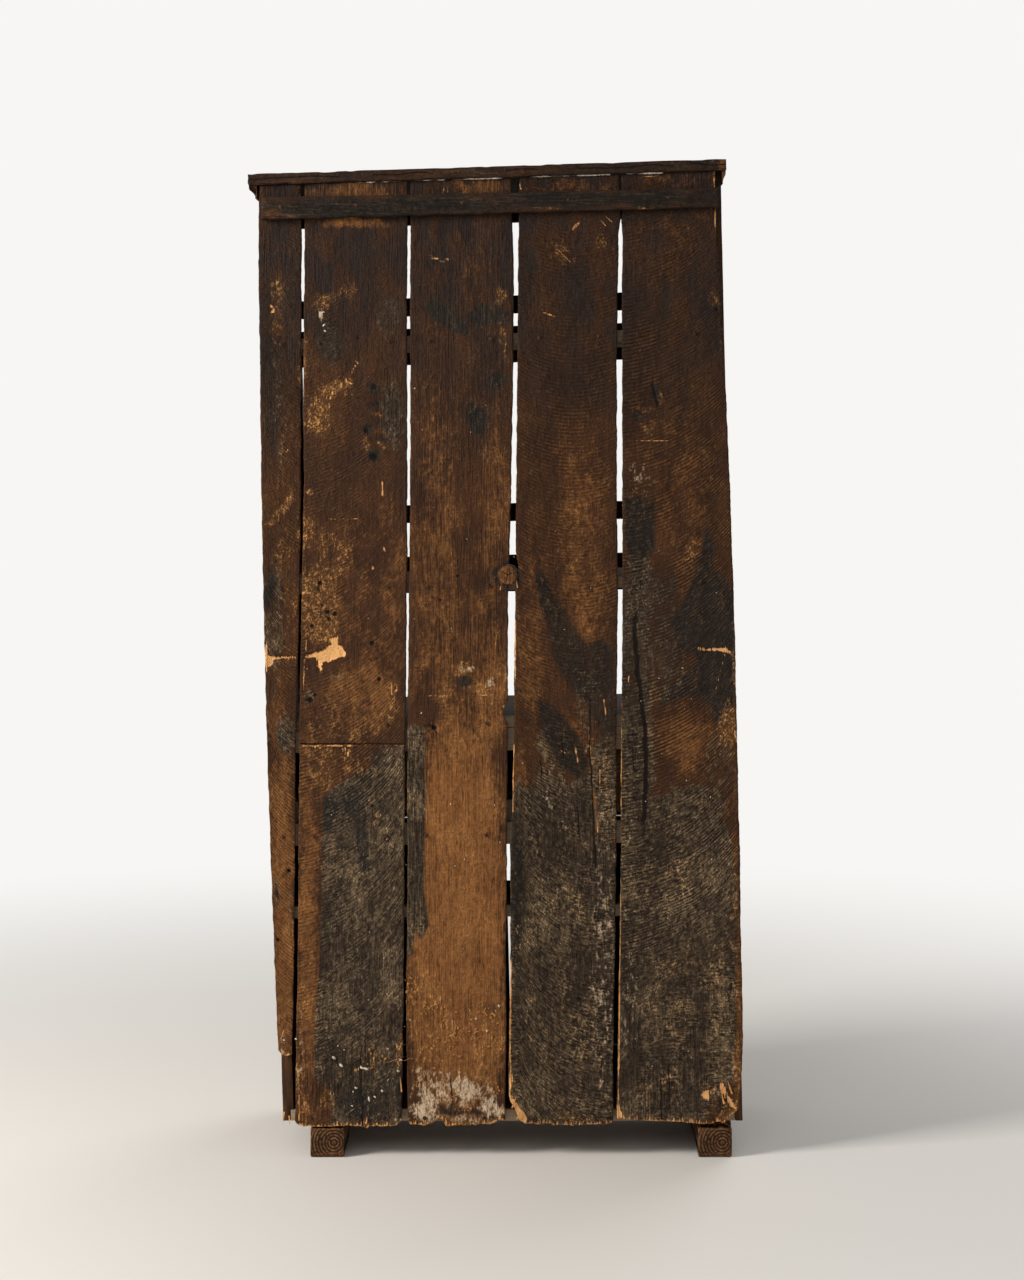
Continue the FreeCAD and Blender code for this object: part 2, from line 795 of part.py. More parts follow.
def make_door(side, name):
    """Every wooden piece of a door, with its knob and hinge leaves."""
    groove = door_groove(side)
    lock_stile, hinge_stile, bottom_rail, top_rail = door_frame(side)
    x = door_knob_x(side)
    holes = [groove, spigot_hole(x, door_knob_level, door_thickness)]
    if side > 0:
        shank = face_y + screw_depth
        radius = screw_radius + screw_gap
        holes.append(rod(button_offset, button_level, face_y - overrun, shank, radius))
    save(name + "_lock_stile", without(lock_stile, holes))
    save(name + "_hinge_stile", hinge_stile.cut(groove))
    save(name + "_bottom_rail", bottom_rail.cut(groove))
    save(name + "_top_rail", top_rail.cut(groove))
    save(name + "_panel", door_panel(side))
    save(name + "_knob", turned_knob(x, door_knob_level, door_thickness))
    save(name + "_hinge_leaves", door_hinge_leaves(side))


# Drawers

def tail_waste(side, x0, x1, low, high):
    """The wood cut from between the dovetails of a drawer side."""
    y_end = face_y + tail_lap
    y_root = face_y + drawer_front_thickness
    step = (high - low) / tail_count
    wastes = []
    for index in range(tail_count + 1):
        z = low + index * step
        outline = [
            (y_end, z - pin_tip),
            (y_root, z - pin_root),
            (y_root, z + pin_root),
            (y_end, z + pin_tip),
        ]
        start = min(side * x0, side * x1) - overrun
        places = [corner(start, y, level) for y, level in outline]
        face = Part.Face(Part.makePolygon(places + places[:1]))
        width = drawer_side_thickness + overrun * 2
        wastes.append(face.extrude(FreeCAD.Vector(width, 0, 0)))
    return wastes


def make_drawer(side, name):
    """A drawer: front with lapped dovetails, two sides, back and a bottom in grooves."""
    inner = divider_width / 2 + drawer_gap
    outer = half_opening - drawer_gap
    low = drawer_floor + drawer_seat
    high = waist_level - drawer_headroom
    side_high = high - drawer_side_drop
    front_rear = face_y + drawer_front_thickness
    rear = back_front - max(cleat_thickness, runner_rail_thickness) - drawer_rear_clearance
    base = low + drawer_bottom_rise
    floor = base + drawer_bottom_thickness

    def piece(x0, x1, z0, z1, y0, y1):
        return board(side * x0, side * x1, z0, z1, y0, y1)

    bottom_in = inner + drawer_side_thickness - drawer_groove
    bottom_out = outer - drawer_side_thickness + drawer_groove
    bottom = piece(bottom_in, bottom_out, base, floor, front_rear - drawer_groove, rear)
    sides = []
    for x0, x1 in ((inner, inner + drawer_side_thickness), (outer - drawer_side_thickness, outer)):
        blank = piece(x0, x1, low, side_high, face_y + tail_lap, rear)
        wastes = tail_waste(side, x0, x1, low, side_high)
        sides.append(without(blank, wastes + [bottom]))
    back_y = rear - drawer_side_thickness
    back_high = side_high - drawer_back_drop
    back_in = inner + drawer_side_thickness
    back_out = outer - drawer_side_thickness
    x = side * (inner + outer) / 2
    z = (low + high) / 2
    front = piece(inner, outer, low, high, face_y, front_rear)
    hole = spigot_hole(x, z, drawer_front_thickness)
    save(name + "_front", without(front, sides + [bottom, hole]))
    save(name + "_sides", Part.makeCompound(sides))
    save(name + "_back", piece(back_in, back_out, floor, back_high, back_y, rear))
    save(name + "_bottom", bottom)
    save(name + "_knob", turned_knob(x, z, drawer_front_thickness))


# Putting it together

def save(name, shape):
    shape.exportStep(os.path.join("parts", name + ".step"))


def make_front_frame():
    """Stiles, rails, divider and frieze of the front, and the waist board that it carries."""
    drawer_rail = framed_rail(drawer_rail_level, drawer_floor)
    waist = waist_board()
    divider = drawer_divider()
    rail_low = middle_shelf_level - shelf_rail_drop
    top_rail_low = top_shelf_level - shelf_rail_drop
    rails = {
        "base_rail": framed_rail(foot_height, base_rail_top),
        "middle_shelf_rail": framed_rail(rail_low, rail_low + shelf_rail_height),
        "top_shelf_rail": framed_rail(top_rail_low, top_rail_low + shelf_rail_height),
        "frieze_board": framed_rail(frieze_level, case_level),
        "guard_rails": guard_rails(),
    }
    for name, shape in rails.items():
        save(name, shape)
    save("drawer_rail", drawer_rail.cut(divider))
    save("waist_board", waist.cut(divider))
    save("drawer_divider", divider)
    tenoned = list(rails.values()) + [drawer_rail]
    stiles = [front_stile(-1, tenoned), front_stile(1, tenoned)]
    save("stile_left", stiles[0])
    save("stile_right", stiles[1])
    return waist, stiles


def make_inside(waist):
    """Shelves, bottom, cleat and runners, and the side boards that hold them."""
    lower_front = back_front - lower_shelf_depth
    boards = {
        "bottom_board": shelf(foot_height, half_housed, frame_rear),
        "lower_shelf": shelf(lower_shelf_level, half_housed, lower_front),
        "middle_shelf": shelf(middle_shelf_level, half_housed, frame_rear),
        "top_shelf": shelf(top_shelf_level, half_housed, frame_rear),
    }
    for name, shape in boards.items():
        save(name, shape)
    housed = list(boards.values()) + [waist]
    sides = [side_board(-1, housed), side_board(1, housed)]
    save("side_board_left", sides[0])
    save("side_board_right", sides[1])
    cleat_y = back_front - cleat_thickness
    cleat = across_case(half_inside, waist_level - cleat_height, waist_level, cleat_y, back_front)
    save("waist_cleat", cleat)
    rail_y = back_front - runner_rail_thickness
    rail = across_case(half_inside, drawer_rail_level, drawer_floor, rail_y, back_front)
    save("runner_rail", rail)
    runners = [side_runner(-1), middle_runner(), side_runner(1)]
    save("drawer_runners", Part.makeCompound(runners))
    return sides


def make_back():
    """The back boards, their batten and nails."""
    top = case_level
    joint = back_joint_level
    board_3 = back_board(3, foot_height - back_3_hang, top, end_3_shares)
    board_4 = back_board(4, foot_height - back_4_hang, top, end_4_shares)
    lengths = {
        "back_board_1": back_board(1, foot_height + back_1_rise, top, end_1_shares),
        "back_board_2_upper": back_board(2, joint, top, ((0, 0), (1, 0))),
        "back_board_2_lower": back_board(2, foot_height - back_2_hang, joint, end_2_shares),
        "back_board_3": joined([board_3.cut(edge_chip()), edge_knot()]),
        "back_board_4": board_4.cut(edge_knot(knot_slack)),
        "back_board_5": back_board(5, foot_height + back_5_rise, top, end_5_shares),
    }
    for name, shape in lengths.items():
        save(name, shape)
    save("back_batten", back_batten())
    save("back_nails", back_nails())


def make_top_and_feet(uprights):
    """Top board, the cornice scribed to the uprights that it is nailed to, and the feet."""
    left = cornice_return(0, cornice_slack - left_overhang)
    right = cornice_return(top_length, right_overhang - cornice_slack)
    save("top_board", top_board())
    save("cornice_front", without(cornice_front(), uprights))
    save("cornice_left", without(left, uprights))
    save("cornice_right", without(right, uprights))
    save("sledge_foot_left", sledge_foot(left_foot_inset - half_case))
    save("sledge_foot_right", sledge_foot(half_case - right_foot_inset - foot_width))


def main():
    os.makedirs("parts", exist_ok=True)
    waist, stiles = make_front_frame()
    sides = make_inside(waist)
    make_back()
    make_top_and_feet(stiles + sides)
    save("frame_hinge_leaves", frame_hinge_leaves())
    make_door(-1, "left_door")
    make_door(1, "right_door")
    save("turn_button", turn_button())
    save("turn_button_screw", button_screw())
    make_drawer(-1, "left_drawer")
    make_drawer(1, "right_drawer")


main()
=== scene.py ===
import functools
import math
import random

import bmesh
import bpy
import numpy as np
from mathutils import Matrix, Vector


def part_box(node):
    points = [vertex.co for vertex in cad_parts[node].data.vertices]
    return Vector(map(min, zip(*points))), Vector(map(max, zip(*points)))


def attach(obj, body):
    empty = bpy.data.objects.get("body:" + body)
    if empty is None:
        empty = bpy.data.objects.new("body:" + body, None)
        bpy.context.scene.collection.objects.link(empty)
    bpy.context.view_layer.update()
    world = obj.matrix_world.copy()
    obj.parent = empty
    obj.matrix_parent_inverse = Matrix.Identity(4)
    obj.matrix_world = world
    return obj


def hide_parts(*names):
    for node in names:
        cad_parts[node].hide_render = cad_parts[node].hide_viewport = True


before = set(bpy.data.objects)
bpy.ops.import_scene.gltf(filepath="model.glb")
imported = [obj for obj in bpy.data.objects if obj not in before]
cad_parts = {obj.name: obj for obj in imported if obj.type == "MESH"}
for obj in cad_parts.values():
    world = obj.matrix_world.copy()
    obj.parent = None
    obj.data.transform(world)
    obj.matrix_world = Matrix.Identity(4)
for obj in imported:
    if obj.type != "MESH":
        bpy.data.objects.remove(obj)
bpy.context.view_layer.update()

# The worn surfaces of a racked farmhouse cupboard, seen first from behind: five sawn back boards
# with stains, chips and rotten ends, the batten and nails that hold them, and every joined piece
# of the case, doors and drawers with its edges rubbed round.

# The reference view. Places on the back are given by column and row in its picture.
view_width = 1024
view_height = 1280
pixel = 0.0017637  # metres on the rear face of the back boards
middle_column = 496.0  # where the cupboard's own X is zero
ground_row = 1158.0
camera_distance = 4.687
focal_pixels = 2657.0
vanishing_column = 525.0
horizon_row = 430.0

# Colours, as linear light
chocolate = (0.050, 0.021, 0.010)
brown = (0.088, 0.036, 0.013)
smoke_black = (0.026, 0.017, 0.014)
smoke_brown = (0.048, 0.021, 0.010)
red_brown = (0.190, 0.074, 0.023)
orange_brown = (0.300, 0.130, 0.040)
charcoal = (0.041, 0.027, 0.017)
ash = (0.172, 0.116, 0.066)
# Painted highlight colour of the glints on the back's relief
glint_highlight = (0.400, 0.270, 0.130)
ochre_brown = (0.210, 0.095, 0.030)
ochre_light = (0.480, 0.240, 0.082)
# Near black for grime, holes and cracks, and for painted shade in the saw kerfs and the relief's
# hollows
soot_and_shade = (0.010, 0.006, 0.004)
tar_black = (0.013, 0.010, 0.008)
tar_brown = (0.046, 0.030, 0.017)
lime_shade = (0.260, 0.150, 0.075)
lime_white = (0.680, 0.520, 0.360)
bare_shade = (0.560, 0.240, 0.070)
bare_cream = (0.860, 0.460, 0.180)
dust_brown = (0.110, 0.064, 0.034)
dust_light = (0.210, 0.132, 0.074)
# Pale dust and bare wood, lightened as painted light on the inner pieces' edges
pale_dust_and_painted_light = (0.340, 0.260, 0.180)
dark_varnish = (0.034, 0.016, 0.009)
rubbed_brown = (0.160, 0.070, 0.027)
drawer_shade = (0.180, 0.092, 0.038)
drawer_light = (0.300, 0.170, 0.076)
drawer_pale = (0.400, 0.250, 0.130)
foot_dark = (0.026, 0.012, 0.006)
foot_light = (0.230, 0.110, 0.044)
iron_black = (0.030, 0.027, 0.026)
rust_brown = (0.052, 0.022, 0.012)
rust_orange = (0.140, 0.052, 0.018)
grit_pale = (0.560, 0.400, 0.230)
chalk_shade = (0.420, 0.340, 0.260)
chalk_white = (0.800, 0.740, 0.650)
floor_colour = (0.80, 0.78, 0.75)
white_around = (0.93, 0.92, 0.90)
soft_light = (1.00, 0.97, 0.93)

millimetre = 0.001
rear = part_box("back_board_3")[1].y
board_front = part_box("back_board_3")[0].y


def across(column):
    """X of a column of the view, on the back boards' rear face."""
    return (middle_column - column) * pixel


def above(row):
    """Height of a row of the view over the ground."""
    return (ground_row - row) * pixel


# Seams between the back boards: (row, left board's edge, right board's edge)
seam_1 = (
    (186, 301.5, 304.5), (250, 301.6, 304.2), (350, 301.3, 303.6), (450, 300.9, 303.3),
    (480, 301.0, 304.0), (500, 300.8, 303.5), (550, 300.2, 302.3), (600, 299.3, 301.2),
    (690, 297.2, 299.6), (760, 295.3, 299.0), (860, 294.9, 298.2), (960, 293.7, 297.6),
    (1040, 292.4, 295.8), (1127, 292.4, 295.2),
)
seam_2 = (
    (186, 407.5, 410.3), (294, 407.0, 410.0), (400, 407.2, 410.2), (500, 407.2, 409.9),
    (560, 407.3, 409.4), (600, 406.7, 408.9), (690, 406.0, 407.6), (740, 405.0, 407.4),
    (860, 404.6, 407.2), (1000, 403.4, 406.2), (1060, 402.8, 406.4), (1127, 401.5, 407.6),
)
seam_3 = (
    (186, 512.0, 519.5), (214, 511.9, 518.6), (250, 513.1, 518.2), (295, 513.9, 517.9),
    (370, 513.3, 517.2), (440, 512.0, 516.6), (500, 510.9, 516.1), (556, 509.6, 515.6),
    (565, 509.0, 517.6), (575, 508.8, 519.0), (586, 508.4, 517.4), (592, 508.1, 515.2),
    (695, 507.8, 514.1), (705, 507.8, 514.1), (708, 505.2, 514.1), (712, 503.9, 514.1),
    (720, 503.8, 514.2), (724, 505.2, 514.2), (727, 507.8, 514.3), (740, 507.6, 514.2),
    (815, 506.8, 512.4), (881, 506.9, 510.5), (918, 506.0, 510.2), (993, 505.9, 510.4),
    (1050, 506.2, 509.0), (1095, 505.6, 508.6), (1127, 505.0, 508.9),
)
seam_4 = (
    (180, 619.2, 621.5), (210, 620.5, 621.5), (217, 620.8, 621.2), (232, 618.8, 622.3),
    (295, 617.6, 622.0), (370, 616.9, 622.2), (500, 616.9, 622.3), (587, 618.0, 622.6),
    (695, 616.9, 621.9), (740, 616.4, 621.2), (870, 616.2, 620.8), (960, 614.8, 619.5),
    (1060, 612.9, 617.6), (1127, 613.3, 616.6),
)
left_outline = (
    (180, 259.5), (228, 258.3), (280, 258.2), (320, 259.0), (400, 260.0), (480, 261.0),
    (560, 262.2), (640, 264.1), (720, 266.0), (800, 268.5), (880, 271.2), (960, 274.0),
    (1040, 277.2), (1060, 278.3),
)
right_outline = (
    (170, 716.0), (200, 716.5), (240, 717.2), (280, 720.5), (330, 723.0), (400, 726.5),
    (480, 729.8), (560, 732.6), (640, 735.0), (720, 737.0), (800, 738.6), (880, 740.2),
    (960, 741.3), (1040, 743.0), (1085, 742.6), (1127, 738.5),
)

# Lower ends of the back boards: (column, row)
low_end_1 = ((278, 1051), (282, 1055), (287, 1056.5), (293, 1054))
low_end_2 = (
    (295, 1122), (299, 1126), (310, 1127), (325, 1127), (345, 1126), (362, 1126.5),
    (366, 1129), (370, 1126), (385, 1126.5), (397, 1125.5), (402, 1120),
)
low_end_3 = (
    (407, 1118), (409.5, 1125), (424, 1126), (433, 1123), (438, 1118), (442, 1119),
    (446, 1127), (460, 1125.5), (476, 1125), (493, 1124), (500, 1120), (505.5, 1121.5),
)
low_end_4 = (
    (508.5, 1095), (511, 1103), (516, 1112), (520, 1121), (526, 1124.5), (547, 1124),
    (565, 1126), (578, 1125), (600, 1124.5), (606, 1125), (613, 1122),
)
low_end_5 = (
    (616.5, 1119.5), (640, 1120.5), (672, 1122), (695, 1123.6), (712, 1124), (719, 1121.5),
    (724, 1124), (729, 1117), (735, 1114), (741, 1105),
)
joint_row = 743.5  # where the second board's two lengths meet

# Stains and scars of the back, with a painted shadow and painted highlights among them: (column,
# row, half width, half height, turn in degrees, strength)
warm_patches = (
    (281, 900, 14, 175, -1, 0.8), (291, 1030, 5, 60, 0, 0.5), (350, 191, 44, 9, 0, 0.45),
    (372, 194, 22, 6, 0, 0.5), (356, 223, 34, 5, 0, 0.62), (480, 186, 28, 9, 0, 0.42),
    (575, 188, 40, 6, 0, 0.35), (680, 180, 40, 8, 0, 0.25), (352, 600, 30, 110, 0, 0.22),
    (362, 697, 34, 44, 0, 0.5), (390, 600, 14, 110, 0, 0.36), (308, 930, 12, 190, 0, 0.62),
    (352, 772, 12, 12, 20, 0.25), (370, 800, 4, 30, 0, 0.75), (330, 830, 30, 60, 0, 0.25),
    (372, 1020, 4, 20, 0, 0.3), (436, 540, 22, 170, 0, 0.32), (472, 250, 20, 60, 0, 0.18),
    (495, 520, 16, 110, 0, 0.3), (455, 650, 44, 70, 0, 0.3), (490, 690, 20, 60, 0, 0.55),
    (458, 930, 50, 215, 0, 0.9), (455, 790, 38, 60, 0, 0.75), (578, 520, 24, 60, 0, 0.4),
    (585, 600, 24, 50, 0, 0.45), (530, 640, 16, 90, 0, 0.36), (592, 820, 9, 46, 0, 0.9),
    (585, 790, 6, 20, 0, 0.6), (521, 775, 9, 26, 0, 0.45), (575, 740, 22, 30, 0, 0.3),
    (685, 480, 34, 80, 0, 0.24), (668, 260, 44, 50, 0, 0.14), (686, 736, 27, 34, 0, 0.5),
    (371, 1046, 8, 7, 0, 0.8), (682, 806, 14, 7, -10, 0.6), (728, 1114, 9, 12, 0, 0.9),
    (733, 830, 9, 90, 0, 0.3), (700, 545, 14, 14, 0, 0.4), (738, 1000, 5, 120, 0, 0.5),
)
grey_patches = (
    (275, 620, 12, 60, 0, 0.5), (287, 735, 9, 18, 0, 0.8), (290, 900, 4, 40, 0, 0.35),
    (277, 893, 3, 14, 0, 0.7), (391, 414, 11, 36, 0, 0.75), (389, 315, 14, 22, 0, 0.45),
    (330, 338, 15, 18, 0, 0.45), (385, 775, 18, 30, 0, 0.75), (345, 850, 20, 40, 0, 0.7),
    (310, 700, 6, 8, 0, 0.7), (330, 672, 18, 8, 0, 0.35), (482, 350, 24, 30, 0, 0.25),
    (482, 430, 14, 44, 0, 0.3), (277, 430, 10, 60, 0, 0.3), (562, 645, 13, 50, -18, 0.3),
    (640, 600, 16, 40, 0, 0.3), (594, 700, 22, 40, 0, 0.45), (552, 750, 16, 30, -14, 0.5),
    (605, 790, 14, 60, 0, 0.8), (545, 820, 26, 50, 0, 0.6), (638, 650, 18, 130, 0, 0.62),
    (634, 770, 18, 70, 0, 0.85), (690, 805, 40, 22, 0, 0.6), (668, 640, 22, 70, 0, 0.4),
    (720, 770, 16, 40, 0, 0.4),
)
tar_and_shadow_patches = (
    (273, 400, 10, 90, 0, 0.5), (269, 592, 7, 26, 0, 0.75), (272, 690, 7, 16, 0, 0.5),
    (296, 260, 6, 70, 0, 0.4), (290, 345, 8, 30, 0, 0.4), (374, 387, 7, 5, 0, 1.0),
    (377, 403, 9, 4, 0, 1.0), (367, 429, 5, 6, 0, 1.0), (380, 423, 9, 3, 0, 0.8),
    # The patch at column 507, row 575 is painted shadow round the edge knot.
    (382, 440, 8, 3, 0, 0.8), (374, 456, 8, 6, 0, 1.1), (507, 575, 13, 13, 0, 1.1),
    (331, 341, 17, 26, 0, 0.55), (390, 311, 15, 22, 0, 0.45), (384, 420, 18, 40, 0, 0.3),
    (360, 1103, 28, 18, 0, 0.55), (388, 1090, 14, 26, 0, 0.5), (449, 319, 22, 9, 38, 1.1),
    (487, 316, 20, 12, 0, 0.75), (475, 420, 10, 15, -15, 1.0), (498, 380, 14, 10, 0, 0.7),
    (464, 681, 9, 5, -30, 0.85), (417, 880, 9, 40, 0, 0.45), (490, 1010, 10, 9, 0, 0.5),
    (546, 592, 6, 26, -12, 0.95), (518, 900, 8, 95, 0, 0.75), (638, 418, 7, 7, 0, 0.75),
    (656, 394, 7, 14, 10, 0.6), (668, 635, 20, 70, 0, 0.5), (660, 585, 16, 30, 0, 0.48),
    (635, 640, 20, 110, 0, 0.5), (345, 818, 22, 40, 0, 0.45), (352, 950, 34, 100, 0, 0.28),
    (686, 1100, 22, 20, 0, 0.35), (722, 1108, 7, 12, 0, 0.8), (402, 1090, 5, 30, 0, 0.7),
)
ochre_patches = (
    (277, 300, 9, 30, 0, 0.62), (281, 508, 26, 6, -46, 0.75), (268, 522, 6, 5, 0, 0.8),
    (276, 375, 5, 50, 0, 0.3), (288, 610, 9, 44, 0, 0.36), (283, 560, 12, 16, 0, 0.4),
    (326, 300, 15, 8, -14, 0.7), (345, 292, 14, 8, -35, 0.4), (318, 417, 14, 20, 18, 0.8),
    (336, 389, 20, 8, -32, 0.66), (303, 370, 5, 40, 0, 0.5), (307, 528, 8, 22, 0, 0.75),
    (312, 493, 4, 4, 0, 0.85), (377, 414, 6, 4, 0, 0.6), (377, 432, 8, 4, 0, 0.55),
    (380, 446, 5, 3, 0, 0.8), (366, 442, 3, 8, 0, 0.6), (318, 602, 20, 40, -8, 0.85),
    (330, 560, 20, 24, 0, 0.5), (374, 590, 34, 3, -28, 0.4), (393, 704, 5, 24, 4, 0.75),
    (318, 765, 18, 24, 0, 0.42), (303, 1080, 6, 46, 0, 0.6), (326, 1098, 10, 12, 0, 0.6),
    (400, 1048, 3.5, 18, 0, 1.1), (362, 1122, 12, 5, 0, 0.5), (302, 1010, 5, 40, 0, 0.5),
    (375, 820, 6, 12, 0, 0.45), (500, 296, 6, 7, 0, 0.65), (503, 345, 6, 24, 0, 0.5),
    (466, 668, 12, 5, -10, 0.8), (486, 688, 14, 8, -30, 0.5), (440, 695, 28, 1.8, 0, 0.5),
    (497, 640, 8, 40, 0, 0.35), (503, 665, 4, 30, 0, 0.5), (430, 1020, 26, 50, 0, 0.5),
    (470, 1050, 34, 40, 0, 0.45), (412, 985, 6, 20, 0, 0.75), (560, 250, 22, 9, 38, 0.3),
    (598, 243, 6, 6, 0, 0.5), (575, 500, 22, 34, 0, 0.2), (572, 575, 24, 36, 0, 0.18),
    (575, 1118, 20, 7, 0, 0.6), (520, 930, 6, 60, 0, 0.3), (605, 770, 8, 30, 0, 0.4),
    (604, 1050, 9, 50, 0, 0.3), (550, 1060, 24, 40, 0, 0.22), (562, 960, 50, 150, 0, 0.2),
    (648, 427, 9, 8, 0, 0.55), (661, 396, 2, 10, 10, 0.7), (645, 409, 8, 4, 0, 0.6),
    (692, 548, 11, 12, -30, 0.65), (727, 727, 10, 18, 0, 0.95), (715, 300, 5, 8, 0, 0.6),
    (722, 340, 4, 40, 0, 0.4), (700, 220, 22, 14, 0, 0.2), (735, 660, 3, 50, 0, 0.8),
    (738, 1080, 4, 42, 0, 0.9), (728, 1110, 9, 10, 0, 0.7), (690, 1000, 40, 60, 0, 0.25),
    (668, 870, 30, 30, 0, 0.25), (736, 930, 5, 90, 0, 0.5), (716, 960, 14, 30, 0, 0.25),
    (350, 722, 42, 22, 0, 0.4), (345, 766, 32, 14, 0, 0.4), (455, 1090, 46, 26, 0, 0.5),
    (708, 1092, 8, 7, 0, 0.7), (660, 1090, 22, 26, 0, 0.3),
)
bare_patches = (
    (345, 382, 5, 7, 0, 0.6), (352, 374, 3, 4, 0, 0.6), (315, 749, 8, 3, 0, 0.7),
    (345, 749, 6, 3, 0, 0.7), (272, 309, 4, 2.5, 0, 0.85), (373, 569, 2.6, 2.6, 0, 1.1),
    (394, 688, 3, 9, 0, 0.75), (346, 752, 3, 4, 0, 0.8), (357, 1070, 5, 2.5, 0, 0.7),
    # The first two of this line lie on the fourth board's left arris and are partly painted
    # highlight.
    (513.6, 780, 1.0, 34, 0, 0.8), (510, 1080, 2.2, 24, 0, 0.85), (513, 1106, 4, 12, -20, 1.1),
    (520, 1117, 6, 9, -25, 1.1), (627, 692, 3, 6, 0, 0.6), (729, 716, 7, 1.6, 0, 0.75),
    (619.5, 1112, 1.6, 12, 0, 1.0), (707, 1096, 5, 5, 30, 0.85), (723, 1090, 3, 10, -20, 0.9),
    (731, 1100, 3, 12, -30, 0.9), (714, 206, 2, 2, 0, 0.8), (508, 596, 2, 4, 0, 0.6),
    (505, 706, 3, 4, 0, 0.7),
)
lime_patches = (
    (464, 1090, 22, 10, 22, 1.2), (421, 1110, 13, 11, -20, 1.2), (492, 1109, 14, 10, 20, 1.1),
    (450, 1118, 50, 5, 0, 0.7), (323.5, 317, 2.0, 8, 0, 0.9), (437, 258, 13, 1.6, 0, 0.5),
    (284, 1042, 2.2, 9, 0, 0.55), (545, 311, 10, 2, 20, 0.32), (535, 391, 12, 1.6, 5, 0.3),
    (640, 480, 14, 22, 0, 0.2), (590, 745, 2, 14, 10, 0.35), (546, 800, 5, 22, -18, 0.4),
    (302, 1060, 3, 34, 0, 0.35), (445, 1078, 26, 9, 10, 0.6), (468, 667, 9, 3, -10, 0.55),
    (492, 682, 5, 7, 0, 0.4), (434, 1100, 12, 5, -20, 0.6), (455, 1098, 46, 20, 0, 0.5),
    (603, 960, 12, 130, 0, 0.3), (628, 980, 8, 80, 0, 0.26),
)
board_stains = {
    "warm": warm_patches, "grey": grey_patches, "tar_and_painted_shadow": tar_and_shadow_patches,
    "ochre": ochre_patches, "bare": bare_patches, "lime": lime_patches,
}
softness = {"warm": 22, "grey": 9, "tar_and_painted_shadow": 8, "ochre": 10, "bare": 3, "lime": 8}  # in pixels
# The same for the batten and for the top board's rear edge
batten_ends = ((262.0, 198.0, 220.0), (719.0, 188.5, 207.5))  # column, top row, lower row
batten_stains = {
    "warm": ((272, 211, 10, 9, 0, 0.35), (300, 217, 30, 2, 0, 0.3), (640, 203, 40, 3, 0, 0.2)),
    "grey": ((421, 206, 5, 2, -30, 0.7), (337, 212, 9, 2.5, -12, 0.7), (470, 201, 14, 3, 20, 0.5)),
    "tar_and_painted_shadow": ((380, 208, 130, 10, -1, 0.8), (600, 200, 130, 9, -1, 0.75)),
    "ochre": ((646, 207, 8, 2, 0, 0.8), (548, 209, 24, 1.2, 0, 0.4), (430, 213, 30, 1.2, 0, 0.35)),
    "bare": (
        (646, 206.5, 4, 1.2, 0, 0.7), (262, 212, 1.2, 8, 0, 0.6), (352, 215.5, 6, 0.9, 0, 0.5),
    ),
}
top_stains = {
    "warm": ((723, 167, 5, 9, 0, 0.45), (300, 180, 40, 5, 0, 0.2), (560, 170, 60, 4, 0, 0.15)),
    "grey": ((470, 173, 60, 4, 0, 0.4), (620, 166, 50, 3, 0, 0.4)),
    "ochre": ((712, 160, 6, 1.5, 0, 0.5), (262, 182, 8, 2, 0, 0.3), (706, 168, 9, 1.5, -15, 0.4)),
    "bare": ((252, 180, 1.5, 2.5, 0, 0.5),),
}

# Round eyes where a knot or a nail has gone: (column, row, radius, strength)
pits = (
    (320, 583, 2.6, 1), (328, 612, 2.4, 1), (335, 614, 2.6, 1), (329, 619, 2.2, 0.9),
    (312, 626, 2.4, 0.9), (322, 605, 1.8, 0.8), (372, 643, 2.6, 1), (371, 660, 1.8, 0.8),
    (377, 659, 1.6, 0.8), (379, 679, 2.4, 1), (310, 700, 3.2, 1), (315, 695, 2.2, 0.9),
    (440, 600, 1.8, 1), (458, 576, 1.8, 1), (434, 728, 2.6, 1), (450, 300, 1.6, 0.8),
    (278, 940, 1.8, 1), (289, 871, 2.2, 1), (579, 999, 2.4, 1), (358, 338, 1.6, 0.9),
    (374, 457, 3.6, 0.9), (366, 430, 2.8, 0.9), (374, 387, 3.0, 0.8), (377, 403, 2.6, 0.7),
    (716, 309, 1.7, 1), (372, 806, 2.4, 0.8), (604, 343, 1.4, 0.7), (634, 1049, 2.0, 0.8),
)
# Cracks of each board: half width in pixels, then (row, column), ...
cracks = {
    "back_board_5": (
        (2.6, ((618, 635), (650, 636), (690, 640), (720, 644), (760, 646.5), (822, 644))),
        (1.6, ((384, 653), (393, 655), (404, 658))), (0.6, ((1078, 660), (1118, 662))),
        (0.5, ((1066, 668), (1108, 670))), (0.6, ((748, 633), (770, 634))),
    ),
    "back_board_4": (
        (0.8, ((700, 590), (755, 590), (830, 594), (868, 596))), (0.7, ((760, 540), (774, 541))),
        (0.6, ((806, 577), (832, 579))), (0.8, ((736, 562), (756, 564))),
    ),
    "back_board_2_lower": ((0.7, ((1050, 361), (1090, 361.5), (1128, 363))),),
    "back_board_3": ((0.7, ((726, 432), (734, 436))), (0.6, ((1080, 450), (1100, 452)))),
}
